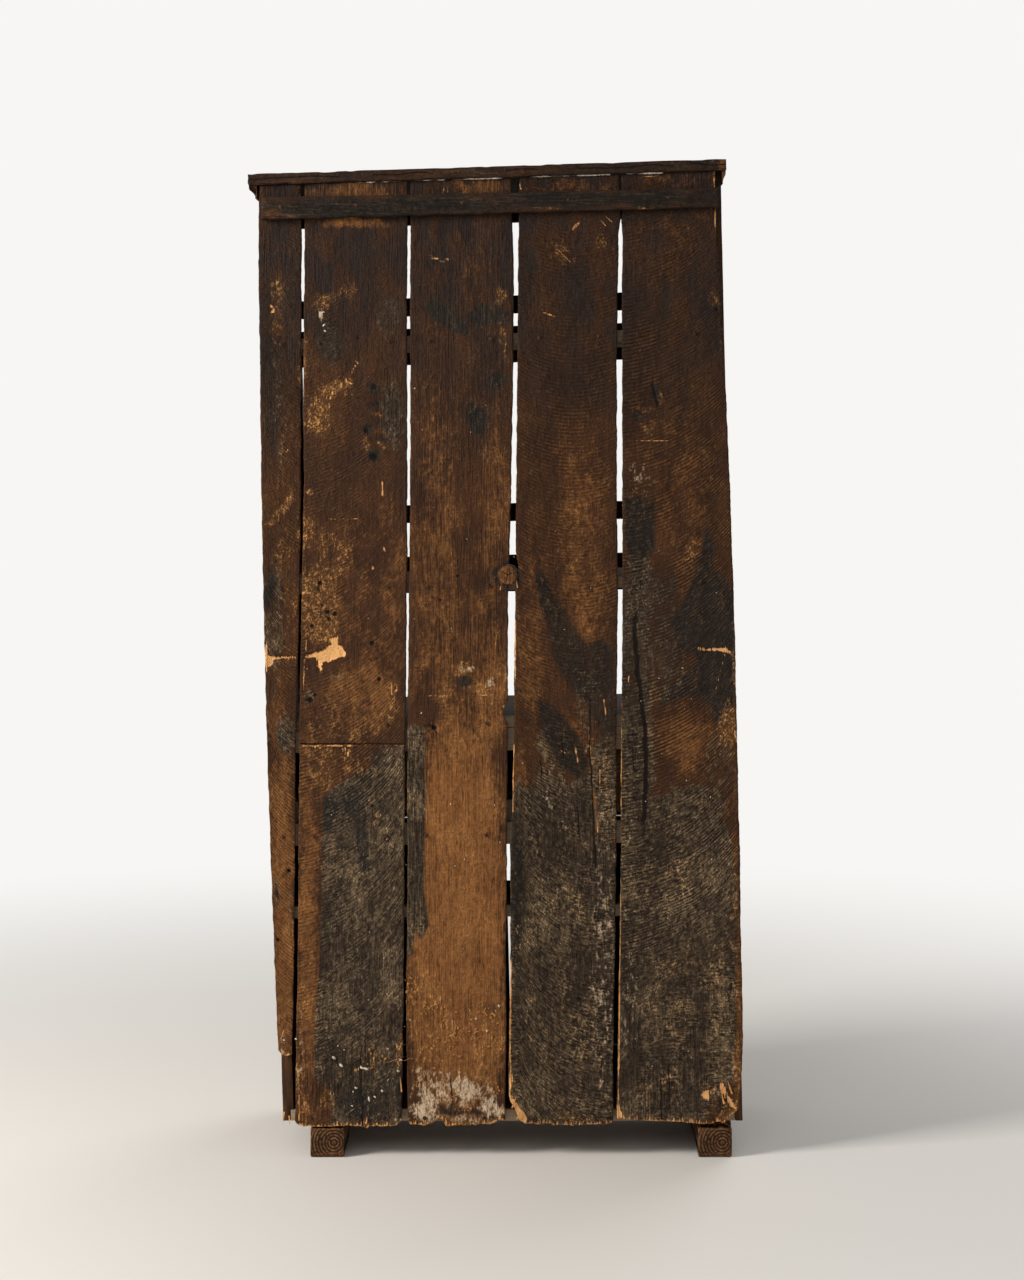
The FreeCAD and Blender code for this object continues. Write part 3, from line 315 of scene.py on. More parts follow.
# Shapes with a clear outline: of each kind, their strength and then (column, row), ...
outlines = {"bare": (
    (
        1.1, (301, 656), (307, 655.5), (314, 652.5), (320, 651.5), (324, 649.5), (327, 646),
        (331.5, 644), (329, 641), (328, 638.5), (332, 637.7), (336.5, 637), (338, 634),
        (338.5, 644.5), (341, 644.6), (343, 649), (346, 652.5), (345, 657), (338, 657.6),
        (329, 662.7), (323, 662), (321, 666.5), (323, 670), (319, 671.5), (316.5, 666.5),
        (316, 658), (301, 657.8),
    ),
    (
        1.1, (264, 646), (267, 640), (268, 655), (273, 656.5), (297, 656), (297, 658.5), (285, 659),
        (274, 660), (272, 666), (268, 668), (266, 673), (264, 664),
    ),
    (
        1.1, (508.5, 1086), (512, 1097), (516, 1103), (520.5, 1109), (523, 1115), (527, 1124),
        (520, 1123), (514, 1112), (510, 1104), (508, 1096),
    ),
    (1.0, (616, 1104), (618.6, 1106), (620, 1117), (618, 1120), (616, 1120)),
    (0.9, (402, 1104), (406, 1098), (406.5, 1120), (401, 1124)),
    (
        1.1, (698, 648), (704, 647.3), (706, 649.6), (710, 648), (719, 648), (727, 646.5),
        (728, 650.4), (732, 651), (731, 655), (727, 653), (717, 651), (704, 651.5), (699, 650.4),
    ),
), "tar_and_painted_shadow": (
    (
        1.0, (426, 303), (432, 300), (441, 303), (450, 306), (458, 314), (466, 324), (470, 335),
        (462, 334), (450, 330), (438, 320), (430, 312),
    ),
    (
        0.62, (536, 582), (543, 580), (560, 600), (572, 617), (580, 632), (588, 643), (600, 637),
        (617, 647), (617, 735), (600, 740), (590, 720), (585, 703), (572, 693), (557, 670),
        (550, 653), (543, 620), (538, 593),
    ),
    (
        0.8, (538, 700), (553, 703), (566, 720), (580, 738), (590, 765), (578, 780), (560, 765),
        (548, 745), (539, 725),
    ),
    (
        0.95, (341, 795), (350, 786), (358, 790), (363, 805), (367, 830), (369, 870), (362, 872),
        (357, 850), (354, 815), (344, 812),
    ),
    (0.8, (322, 798), (333, 792), (340, 800), (340, 815), (330, 832), (323, 835)),
    # A dark twig and its painted shadow, at the foot of the third board.
    (
        0.95, (437, 1106), (443, 1103), (447, 1109), (452, 1103), (456, 1096), (459, 1098),
        (456, 1107), (462, 1108), (476, 1108), (486, 1114), (478, 1116), (464, 1114),
        (452, 1118), (440, 1114),
    ),
    (1.0, (626, 500), (640, 497), (654, 502), (655, 548), (648, 560), (630, 556), (625, 540)),
    (
        1.0, (706, 528), (716, 545), (711, 572), (722, 572), (732, 590), (736, 620), (734, 700),
        (728, 722), (714, 722), (713, 706), (690, 694), (664, 704), (656, 712), (666, 690),
        (690, 672), (698, 658), (681, 648), (672, 624), (684, 600), (694, 578), (700, 556),
    ),
), "grey": (
    (
        0.95, (331, 790), (345, 782), (352, 775), (372, 768), (384, 752), (404, 746), (404, 1050),
        (399, 1062), (402, 1100), (402, 1130), (330, 1130), (334, 1104), (328, 1088), (315, 1080),
        (314, 1050), (317, 1000), (320, 960), (322, 900), (322, 850), (323, 800),
    ),
    (
        0.95, (507, 800), (520, 780), (535, 800), (540, 760), (560, 790), (590, 770), (596, 830),
        (618, 850), (616, 1130), (508, 1130),
    ),
    (
        0.95, (618, 840), (640, 800), (700, 790), (730, 830), (737, 900), (736, 1040), (733, 1085),
        (716, 1098), (700, 1126), (616, 1130),
    ),
    (
        0.9, (406, 726), (424, 727), (425.5, 800), (424, 890), (429, 925), (421, 940), (415, 930),
        (412, 955), (406, 960),
    ),
)}
outline_edge = {"bare": 4.6, "tar_and_painted_shadow": 9.0, "grey": 5.0}  # how wide an outline fades, in pixels
# Thin light nicks: (first column and row, last column and row, half width in pixels)
# Those down the left edges of the fourth and fifth boards are bare arrises, painted lighter as the
# highlight where the light from the left catches them.
nicks_and_arris_highlights = (
    (328, 519.5, 363, 519.0, 0.5), (624, 440, 668, 441, 0.5), (394.3, 609, 394.8, 633, 0.8),
    (382, 483, 382.5, 495, 1.1), (383.5, 547, 384.5, 551, 0.9), (430, 258, 449, 259.5, 0.7),
    (415, 696, 500, 695, 0.45), (513.8, 745, 512.6, 812, 0.6), (302, 746, 352, 745.8, 0.7),
    (352, 745.8, 404, 745.5, 0.3), (306, 493, 310, 489, 0.8), (292, 497, 278, 512, 0.5),
    (352, 372, 355, 366, 0.9), (333, 391, 330, 399, 0.9), (345, 381, 352, 384, 0.8),
    (394.5, 690, 393.5, 722, 0.6), (391, 684, 391, 694, 0.7), (397, 683, 397, 692, 0.5),
    (542, 312, 556, 317, 0.6), (530, 392, 548, 391, 0.5), (575, 746, 578, 762, 0.8),
    (589, 735, 592, 764, 0.7), (560, 750, 566, 754, 0.6), (604, 700, 606, 716, 0.6),
    (715.3, 206, 714.8, 240, 0.6), (600, 770, 597, 846, 0.5), (306, 640, 303, 690, 0.6),
    (278, 1046, 284, 1030, 0.5), (286, 452, 290, 446, 0.6), (271, 306, 274, 311, 1.2),
    (356, 361, 358, 364, 0.8), (734, 730, 737, 742, 0.8), (621.6, 700, 620.6, 860, 0.5),
    (620.4, 880, 618.4, 1120, 0.7), (511, 960, 509.5, 1090, 0.8), (298, 1070, 299, 1120, 0.9),
    (404.5, 990, 404, 1090, 0.7), (515.5, 620, 515.2, 690, 0.5), (627, 700, 629, 676, 0.6),
    (573, 229, 580, 222, 0.9), (412, 1067, 418, 1066, 0.6), (418, 1066, 421, 1077, 0.6),
    (421, 1077, 415, 1085, 0.5), (415, 1085, 408, 1092, 0.5), (408, 1092, 399, 1099, 0.5),
    (399, 1099, 393, 1097, 0.5), (443.5, 182, 443, 193, 0.7), (448.5, 182, 447.5, 193, 0.5),
    (519, 180, 521, 190, 0.6), (714.5, 170, 714, 187, 0.6), (626, 178, 660, 175.5, 0.4),
    (549, 240, 570, 262, 0.4), (716, 690, 726, 650, 0.4),
)

# How smoked the boards are: (row, strength)
smoke_rows = ((186, 1.0), (300, 0.85), (420, 0.35), (560, 0.0), (1127, 0.0))

# The saw's arcs on each board: their middle (row, column), radius in pixels, (row, strength)
saw_pitch = 3.7
saw_marks = {
    "back_board_1": (
        ((186, 335),), 75, ((186, 0.3), (600, 0.4), (760, 0.8), (900, 0.7), (1050, 0.4)),
    ),
    "back_board_2_upper": (((186, 255),), 190, ((186, 0.1), (330, 0.3), (560, 0.4), (743, 0.5))),
    "back_board_2_lower": (((743, 262),), 165, ((743, 0.8), (850, 0.6), (1000, 0.4), (1127, 0.2))),
    "back_board_3": (((186, 420),), 260, ((186, 0.15), (500, 0.1), (900, 0.12), (1127, 0.1))),
    "back_board_4": (
        ((186, 574), (640, 574), (800, 604), (1127, 615)), 100,
        ((186, 0.3), (330, 0.6), (640, 0.5), (760, 0.55), (1127, 0.4)),
    ),
    "back_board_5": (
        ((186, 600), (900, 596), (950, 570), (1010, 480), (1127, 470)), 175,
        ((186, 0.25), (330, 0.7), (620, 0.9), (940, 1.0), (990, 0.4), (1127, 0.3)),
    ),
}


def ripple(u, v, size, seed):
    """Smooth random heights from -1 to 1 over a plane, about size from one to the next."""
    count = 64
    lattice = np.random.default_rng(seed).uniform(-1, 1, (count, count))
    u = np.asarray(u, float) / size
    v = np.asarray(v, float) / size
    column = np.floor(u).astype(int)
    row = np.floor(v).astype(int)
    s = u - column
    t = v - row
    s = s * s * (3 - 2 * s)
    t = t * t * (3 - 2 * t)

    def level(step_u, step_v):
        return lattice[(column + step_u) % count, (row + step_v) % count]

    near = level(0, 0) * (1 - s) + level(1, 0) * s
    far = level(0, 1) * (1 - s) + level(1, 1) * s
    return near * (1 - t) + far * t


def waver(places, size, seed):
    """Smooth random heights from -1 to 1 along a line."""
    return ripple(places, places * 0, size, seed)


def eased(value, low, high):
    """0 below low, 1 above high and smooth between them."""
    share = np.clip((value - low) / (high - low), 0, 1)
    return share * share * (3 - 2 * share)


def follow(places, at, column=1):
    """Values of a measured line at the given rows."""
    return np.interp(at, [place[0] for place in places], [place[column] for place in places])


def patch_strength(columns, rows, table, soft, seed):
    """How strongly each place lies in one of a table's patches, with wandering outlines."""
    shifted = columns + 2.2 * ripple(columns, rows, 9, seed) + 3 * ripple(columns, rows, 30, seed)
    lowered = rows + 4.4 * ripple(columns, rows, 13, seed + 1)
    total = np.zeros(columns.shape)
    for column, row, half_width, half_height, turn, strength in table:
        slope = math.radians(turn)
        aside = shifted - column
        down = lowered - row
        along = aside * math.cos(slope) + down * math.sin(slope)
        beside = down * math.cos(slope) - aside * math.sin(slope)
        reach = np.hypot(along / half_width, beside / half_height)
        steep = max(1.0, min(half_width, half_height) / soft)
        total = np.maximum(total, strength * np.clip(0.5 + (1 - reach) * steep, 0, 1))
    return total


# Pieces and their meshes

def add_piece(name, mesh, body, finish, nodes=()):
    """Makes an object of a mesh, gives it its finish and sets it to ride on a body."""
    mesh.materials.clear()
    mesh.materials.append(finish)
    piece = bpy.data.objects.new(name, mesh)
    bpy.context.scene.collection.objects.link(piece)
    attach(piece, body)
    if nodes:
        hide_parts(*nodes)
    return piece


def stacked(x, y, z):
    """Places out of their three coordinates."""
    return np.stack([x, y, z], axis=-1)


def set_values(mesh, name, values):
    """Stores one number, or one place, for each point of a mesh."""
    values = np.asarray(values, np.float32)
    if values.ndim == 1:
        mesh.attributes.new(name, "FLOAT", "POINT").data.foreach_set("value", values)
    else:
        layer = mesh.attributes.new(name, "FLOAT_VECTOR", "POINT")
        layer.data.foreach_set("vector", values.ravel())


def set_same(mesh, **values):
    """Stores under each name one number for all points of a mesh."""
    for name, value in values.items():
        set_values(mesh, name, np.full(len(mesh.vertices), value))


def smooth_by_angle(mesh, degrees):
    """Shades a mesh smooth, but not across edges sharper than an angle."""
    mesh.polygons.foreach_set("use_smooth", [True] * len(mesh.polygons))
    mesh.set_sharp_from_angle(angle=math.radians(degrees))


def slab_mesh(name, outer, inner):
    """A closed mesh between two grids of places, each shaped (rows, columns, 3)."""
    rows, columns = outer.shape[:2]
    ring = np.concatenate([outer, inner[:, ::-1]], axis=1)
    width = columns * 2
    number = np.arange(rows * width).reshape(rows, width)
    here, below = number[:-1], number[1:]
    after_here, after_below = np.roll(here, -1, axis=1), np.roll(below, -1, axis=1)
    walls = np.stack([here, below, after_below, after_here], axis=-1).reshape(-1, 4)
    front = number[:, ::-1]
    caps = []
    for row, order in ((0, 1), (rows - 1, -1)):
        quads = [
            number[row, :columns - 1], number[row, 1:columns],
            front[row, 1:columns], front[row, :columns - 1],
        ]
        caps.append(np.stack(quads[::order], axis=-1))
    mesh = bpy.data.meshes.new(name)
    faces = np.concatenate([walls] + caps)
    mesh.from_pydata(ring.reshape(-1, 3).tolist(), [], faces.tolist())
    mesh.validate()
    smooth_by_angle(mesh, 40)
    return mesh


def spread(length, pitch, rims):
    """Shares from 0 to 1 along a length, even in the middle and closer at both rims."""
    middle = np.linspace(rims[-1], length - rims[-1], max(2, round(length / pitch)))
    places = np.concatenate([rims[:-1], middle, length - np.array(rims[:-1])[::-1]])
    return places / length


def rounded(distance, radius):
    """How far a rounded arris lies below the face, at a distance from its edge."""
    near = np.clip(1 - distance / radius, 0, 1)
    return radius * (1 - np.sqrt(1 - near * near))


def two_faced(values, front=None):
    """Values of a slab's points: its rear face's, and its front face's, alike or all one."""
    other = values if front is None else np.full(values.shape, front)
    return np.concatenate([values, other[:, ::-1]], axis=1).ravel()


# Top of the case, as a line through the highest corners of the side boards

def highest(node):
    """The highest corner of a CAD node."""
    places = [vertex.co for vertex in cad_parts[node].data.vertices]
    return max(places, key=lambda place: place.z)


top_low = highest("side_board_right")
top_high = highest("side_board_left")


def top_row(column):
    """Row of the top board's underside at a column."""
    share = (across(column) - top_high.x) / (top_low.x - top_high.x)
    return ground_row - (top_high.z + share * (top_low.z - top_high.z)) / pixel


# The back boards

rim_steps = (0.0, 0.0006, 0.0016, 0.0034)  # rows of points beside an edge, in metres from it
grid_pitch = 0.0032
undercut = 0.0016  # how far a board's edges draw in toward its front face
edge_round = 0.0026
end_round = 0.0016
chip_depth = 0.0016
eye_depth = 0.0022
crack_depth = 0.0012
dent_depth = 0.0010
board_apart = 0.31  # from one board's place in the grain to the next one's
# What counts as far from any nick or crack, in its half widths
no_nick = 6.0
no_crack = 9.0


def outline_strength(columns, rows, shapes, edge):
    """How strongly each place lies inside one of some outlines, about half on the line itself."""
    total = np.zeros(columns.shape)
    for strength, *outline in shapes:
        inside = np.zeros(columns.shape, bool)
        nearest = np.full(columns.shape, np.inf)
        for (column, row), (next_column, next_row) in zip(outline, outline[1:] + outline[:1]):
            if row != next_row:
                crossing = column + (rows - row) * (next_column - column) / (next_row - row)
                inside ^= ((row > rows) != (next_row > rows)) & (columns < crossing)
            step = np.array([next_column - column, next_row - row])
            share = ((columns - column) * step[0] + (rows - row) * step[1]) / (step @ step)
            share = np.clip(share, 0, 1)
            apart = np.hypot(columns - column - share * step[0], rows - row - share * step[1])
            nearest = np.minimum(nearest, apart)
        reach = np.where(inside, nearest, -nearest)
        total = np.maximum(total, strength * np.clip(0.55 + reach / edge, 0, 1))
    return total


def stained(columns, rows, stains):
    """Strength of each kind of stain at each place."""
    strengths = {}
    for number, (kind, table) in enumerate(stains.items()):
        patches = patch_strength(columns, rows, table, softness[kind], 11 + 2 * number)
        shapes, edge = outlines.get(kind, ()), outline_edge.get(kind)
        strengths[kind] = np.maximum(patches, outline_strength(columns, rows, shapes, edge))
    return strengths


def nick_reach(columns, rows):
    """Distance to the nearest of the light nicks, painted arris highlights among them, as a share
    of its half width, up to no_nick.
    """
    nearest = np.full(columns.shape, no_nick)
    for column, row, last_column, last_row, half_width in nicks_and_arris_highlights:
        step = np.array([last_column - column, last_row - row])
        aside, down = columns - column, rows - row
        share = np.clip((aside * step[0] + down * step[1]) / (step @ step), 0, 1)
        apart = np.hypot(aside - share * step[0], down - share * step[1])
        nearest = np.minimum(nearest, apart / half_width)
    return nearest


def crack_reach(name, columns, rows, seed):
    """Signed distance to a board's nearest crack in its half widths, no_crack far from any."""
    wander = 0.8 * waver(rows, 14, seed) + 0.3 * waver(rows, 4, seed + 1)
    nearest = np.full(columns.shape, no_crack)
    for half_width, line in cracks.get(name, ()):
        aside = columns - follow(line, rows) - wander
        past = np.clip(np.maximum(line[0][0] - rows, rows - line[-1][0]), 0, 20)
        reach = (aside + np.where(aside < 0, -1, 1) * past) / half_width
        nearest = np.where(np.abs(reach) < np.abs(nearest), reach, nearest)
    return nearest


def back_board(node, left, right, low_end, lift, seed, top=None):
    """A sawn back board on a fine grid, with its outline, ragged end, scars and stains."""
    foot_row = max(row for column, row in low_end)
    head_row = min(top_row(left[0][1]), top_row(right[0][1])) if top is None else top
    ends_torn = foot_row > joint_row + 1
    length = (foot_row - head_row) * pixel
    width = (right[0][1] - left[0][1]) * pixel
    share, down = np.meshgrid(
        spread(width, grid_pitch, rim_steps), spread(length, grid_pitch, rim_steps),
    )
    rows = head_row + down * (foot_row - head_row)

    def sawn_edge(places, size, step):
        """Columns of one edge of the board, as measured and with the saw's wander."""
        wander = 0.35 * waver(rows, size, seed + step) + 0.2 * waver(rows, 3, seed + step + 1)
        return follow(places, rows) + wander

    low_left = sawn_edge(left, 11, 0)
    low_right = sawn_edge(right, 12, 2)
    columns = low_left + share * (low_right - low_left)
    base = top_row(columns) if top is None else head_row + 0.25 * waver(columns, 6, seed)
    foot = follow(low_end, columns)
    if ends_torn:
        torn = 0.7 * waver(columns, 2.2, seed + 4)
        foot = foot + torn * (1 + waver(columns, 9, seed + 5))
    rows = base + down * (foot - base)

    stains = stained(columns, rows, board_stains)
    eyes = np.zeros(columns.shape)
    swirl = np.zeros(columns.shape)
    for column, row, radius, strength in pits:
        aside, below = columns - column, rows - row
        reach = np.hypot(aside, below) / radius
        eyes = np.maximum(eyes, strength * np.clip(1.5 - reach, 0, 1))
        fall = np.exp(-(aside / 9) ** 2 - (below / 22) ** 2)
        swirl += strength * radius * np.sign(aside) * fall * np.minimum(1, abs(aside) / 2)
    crack = crack_reach(node, columns, rows, seed)
    face = rear + lift
    face = face - rounded(np.minimum(share, 1 - share) * width, edge_round)
    face -= rounded(np.minimum(down, 1 - down) * length, end_round)
    face += 0.0006 * ripple(columns, rows, 70, seed + 6) + 0.00022 * ripple(columns, rows, 5, seed)
    face += 0.00016 * ripple(columns, rows, 2.5, seed + 8)
    uneven = 1.1 + 0.5 * ripple(columns, rows / 6, 1.6, 31)
    face -= chip_depth * eased(stains["bare"], 0.35, 0.75) * uneven
    face -= eye_depth * eased(eyes, 0.2, 1.0)
    face -= crack_depth * np.exp(-((crack / 1.8) ** 2))
    dented = np.clip(ripple(columns, rows, 8, 33), 0, 1)
    face -= dent_depth * eased(stains["tar_and_painted_shadow"], 0.6, 1.0) * dented

    outer = stacked(across(columns), face, above(rows))
    inner = outer.copy()
    inner[..., 0] += (2 * share - 1) * undercut
    inner[..., 1] = board_front
    mesh = slab_mesh(node.replace("back", "sawn"), outer, inner)

    middle, radius, saw_rows = saw_marks[node]
    aside = np.clip((columns - follow(middle, rows)) / radius, -0.93, 0.93)
    phase = (rows - radius * np.sqrt(1 - aside * aside)) / saw_pitch
    sawn = follow(saw_rows, rows) * (0.75 + 0.45 * ripple(columns, rows, 30, seed + 9))
    smoke = follow(smoke_rows, rows) + 0.25 * ripple(columns, rows / 2, 40, 29)
    from_end = (1 - down) * length if ends_torn else np.full(columns.shape, 1.0)

    grain = (columns + swirl) * pixel + seed * board_apart
    set_values(mesh, "grain", stacked(
        two_faced(grain), two_faced(face, board_front), two_faced(rows * pixel),
    ))
    stroke = phase * saw_pitch * pixel + seed
    set_values(mesh, "stroke", stacked(
        two_faced(stroke), two_faced(face), two_faced(columns * pixel),
    ))
    for name, values in {"saw": phase, "end": from_end, "sawn": sawn}.items():
        set_values(mesh, name, two_faced(values))
    rear_only = {"pit": eyes, "smoke": smoke, "back": np.ones(columns.shape), **stains}
    for name, values in rear_only.items():
        set_values(mesh, name, two_faced(values, 0.0))
    set_values(mesh, "crack", two_faced(crack, no_crack))
    set_values(mesh, "nick", two_faced(nick_reach(columns, rows), no_nick))
    add_piece(mesh.name, mesh, "case", sawn_pine(), (node,))


def side(places, index):
    """The edge of one board out of a seam's table."""
    return tuple((place[0], place[index]) for place in places)


def make_back_boards():
    """The five boards from left to right, the second in its two lengths."""
    ends_meet = ((290, joint_row), (410, joint_row + 0.4))
    left_of_2, right_of_2 = side(seam_1, 2), side(seam_2, 1)
    back_board("back_board_1", left_outline, side(seam_1, 1), low_end_1, -0.0008, 41)
    back_board("back_board_2_upper", left_of_2, right_of_2, ends_meet, -0.0004, 42)
    back_board(
        "back_board_2_lower", left_of_2, right_of_2, low_end_2, -0.0010, 43, joint_row + 0.9,
    )
    back_board("back_board_3", side(seam_2, 2), side(seam_3, 1), low_end_3, -0.0016, 44)
    back_board("back_board_4", side(seam_3, 2), side(seam_4, 1), low_end_4, -0.0006, 45)
    back_board("back_board_5", side(seam_4, 2), right_outline, low_end_5, -0.0011, 46)


# Worn copies of the solids

weld_distance = 0.00002
snap_distance = 0.00005
last_cut = 0.004  # how near to a solid's far end the last cut across it comes
sharp_angle = math.radians(28)


def metres_to_edges(points, segments):
    """Distance of each point to the nearest of some straight edges."""
    nearest = np.full(len(points), 1.0)
    for start, end in segments:
        line = end - start
        share = np.clip((points - start) @ line / (line @ line), 0, 1)
        apart = np.linalg.norm(points - start - share[:, None] * line, axis=1)
        nearest = np.minimum(nearest, apart)
    return nearest


def grain_places(points, groups, axis, heart):
    """Places across, through and along the grain of each separate solid, from its heart."""
    places = np.zeros_like(points)
    for number, group in enumerate(groups):
        part = points[group]
        offsets = part - (part.min(0) + part.max(0)) / 2
        extent = np.ptp(part, axis=0)
        along = int(extent.argmax()) if axis is None else axis
        direction = (offsets * offsets[:, [along]]).sum(0) / (offsets[:, along] ** 2).sum()
        direction = direction / np.linalg.norm(direction)
        rest = [index for index in range(3) if index != along]
        wide, thick = sorted(rest, key=lambda index: -extent[index])
        beside = offsets - (offsets @ direction)[:, None] * direction
        aside, under = (0.37 * number + part[0, 0], 0.05) if heart is None else heart
        places[group] = stacked(
            beside[:, wide] + aside, beside[:, thick] + under, offsets @ direction,
        )
    return places


def vertex_groups(solid):
    """Lists of the point numbers of each separate solid."""
    solid.verts.index_update()
    seen = set()
    groups = []
    for start in solid.verts:
        if start.index in seen:
            continue
        group = []
        waiting = [start]
        seen.add(start.index)
        while waiting:
            vertex = waiting.pop()
            group.append(vertex.index)
            for edge in vertex.link_edges:
                other = edge.other_vert(vertex)
                if other.index not in seen:
                    seen.add(other.index)
                    waiting.append(other)
        groups.append(group)
    return groups


def welded(node):
    """A CAD node's solid with its points joined and its flat faces whole."""
    solid = bmesh.new()
    solid.from_mesh(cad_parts[node].data)
    bmesh.ops.remove_doubles(solid, verts=solid.verts, dist=weld_distance)
    bmesh.ops.dissolve_limit(
        solid, angle_limit=math.radians(1), verts=solid.verts, edges=solid.edges,
    )
    return solid


def worn_copy(
    node, body, finish, soft=0.0011, wear=0.0005, pitch=0.022, axis=None, heart=None,
    raw=False,
):
    """A CAD piece with its edges rubbed round and its faces no longer true, never outside it."""
    solid = welded(node)
    sharp = [
        edge for edge in solid.edges
        if edge.is_manifold and edge.calc_face_angle_signed() > sharp_angle
    ]
    segments = [tuple(np.array(vertex.co) for vertex in edge.verts) for edge in sharp]
    bmesh.ops.bevel(
        solid, geom=sharp, offset=soft, offset_type="OFFSET", segments=2, profile=0.5,
        affect="EDGES", clamp_overlap=True,
    )
    low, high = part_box(node)
    for index in range(3):
        normal = Vector([float(index == other) for other in range(3)])
        for place in np.arange(low[index] + pitch, high[index] - last_cut, pitch):
            parts = solid.verts[:] + solid.edges[:] + solid.faces[:]
            bmesh.ops.bisect_plane(
                solid, geom=parts, plane_co=normal * place, plane_no=normal, dist=snap_distance,
            )
    solid.normal_update()
    groups = vertex_groups(solid)
    points = np.array([vertex.co for vertex in solid.verts])
    normals = np.array([vertex.normal for vertex in solid.verts])
    seed = sum(map(ord, node))
    rim = metres_to_edges(points, segments)
    first, second = points[:, 0] + 0.7 * points[:, 1], points[:, 2] - 0.6 * points[:, 1]
    hollow = 0.5 + 0.5 * ripple(first, second, 0.07, seed)
    chipped = np.clip(ripple(first, second, 0.03, seed + 1), 0, 1) * eased(rim, 0.004, 0.0)
    points -= normals * (wear * hollow + 1.6 * wear * chipped)[:, None]
    mesh = bpy.data.meshes.new(node + "_worn")
    solid.to_mesh(mesh)
    solid.free()
    mesh.vertices.foreach_set("co", points.ravel())
    set_values(mesh, "grain", grain_places(points, groups, axis, heart))
    # A pale strip along the rear: bare wood, and partly painted light.
    if raw:
        set_values(mesh, "raw", eased(points[:, 1], high.y - 0.004, high.y - 0.001))
    set_values(mesh, "rim", rim)
    mesh.update()
    smooth_by_angle(mesh, 30)
    return add_piece(mesh.name, mesh, body, finish, (node,))


# Materials

class Value:
    """One output of a node; arithmetic on it adds Math nodes."""

    def __init__(self, finish, socket):
        self.finish = finish
        self.socket = socket

    def __add__(self, other):
        return self.finish.math("ADD", self, other)

    def __sub__(self, other):
        return self.finish.math("SUBTRACT", self, other)

    def __rsub__(self, other):
        return self.finish.math("SUBTRACT", other, self)

    def __mul__(self, other):
        return self.finish.math("MULTIPLY", self, other)

    __radd__ = __add__
    __rmul__ = __mul__


def opaque(colour):
    """A plain colour as a socket takes it, with its alpha; a Value stays as it is."""
    return colour if isinstance(colour, Value) else (*colour, 1.0)


class Finish:
    """A node tree under construction: a material's or the world's."""

    def __init__(self, name, owner=None):
        self.owner = owner or bpy.data.materials.new(name)
        self.owner.use_nodes = True
        self.tree = self.owner.node_tree
        self.tree.nodes.clear()

    def node(self, kind, settings=None, inputs=None, output=0):
        """Adds a node of the given type, with its settings first and then its inputs."""
        made = self.tree.nodes.new("ShaderNode" + kind)
        for name, setting in (settings or {}).items():
            setattr(made, name, setting)
        for name, value in (inputs or {}).items():
            if isinstance(value, Value):
                self.tree.links.new(value.socket, made.inputs[name])
            else:
                made.inputs[name].default_value = value
        return Value(self, made.outputs[output]) if made.outputs else None

    def math(self, operation, first, second=0.0):
        """A Math node of two numbers."""
        return self.node("Math", {"operation": operation}, {0: first, 1: second})

    def attribute(self, name):
        """A number stored on the mesh's points."""
        return self.node("Attribute", {"attribute_name": name}, output="Fac")

    def place(self, name):
        """A place stored on the mesh's points."""
        return self.node("Attribute", {"attribute_name": name}, output="Vector")

    def own_place(self):
        """Places measured from the object's own origin."""
        return self.node("TexCoord", output="Object")

    def length(self, vector):
        """How long a vector is."""
        return self.node("VectorMath", {"operation": "LENGTH"}, {0: vector}, "Value")

    def times(self, vector, factors):
        """A vector with each of its three numbers multiplied by its own factor."""
        return self.node("VectorMath", {"operation": "MULTIPLY"}, {0: vector, 1: factors})

    def noise(self, vector, sizes, detail, roughness, distortion=0.0):
        """Noise from 0 to 1 whose features have the given sizes in metres."""
        return self.node("TexNoise", inputs={
            "Vector": self.times(vector, tuple(1 / size for size in sizes)), "Scale": 1.0,
            "Detail": detail, "Roughness": roughness, "Distortion": distortion,
        })

    def between(self, value, low, high):
        """0 below low, 1 above high and smooth between them."""
        return self.node("MapRange", {"interpolation_type": "SMOOTHSTEP"}, {
            "Value": value, "From Min": low, "From Max": high,
        })

    def mix(self, factor, first, second):
        """The first colour where the factor is 0, the second where it is 1."""
        inputs = {0: factor, 6: opaque(first), 7: opaque(second)}
        return self.node("Mix", {"data_type": "RGBA"}, inputs, 2)

    def scaled(self, colour, factor):
        """A colour made lighter or darker by a factor."""
        return self.node("VectorMath", {"operation": "SCALE"}, {0: colour, "Scale": factor})

    def surface(self, colour, roughness, height, extra=None):
        """The shader of a solid: its colour, its roughness and its relief in millimetres."""
        bump = self.node("Bump", inputs={"Height": height, "Distance": millimetre})
        shader = self.node("BsdfPrincipled", inputs={
            "Base Color": colour, "Roughness": roughness, "Normal": bump,
            "Specular IOR Level": 0.15, **(extra or {}),
        })
        self.node("OutputMaterial", inputs={"Surface": shader})


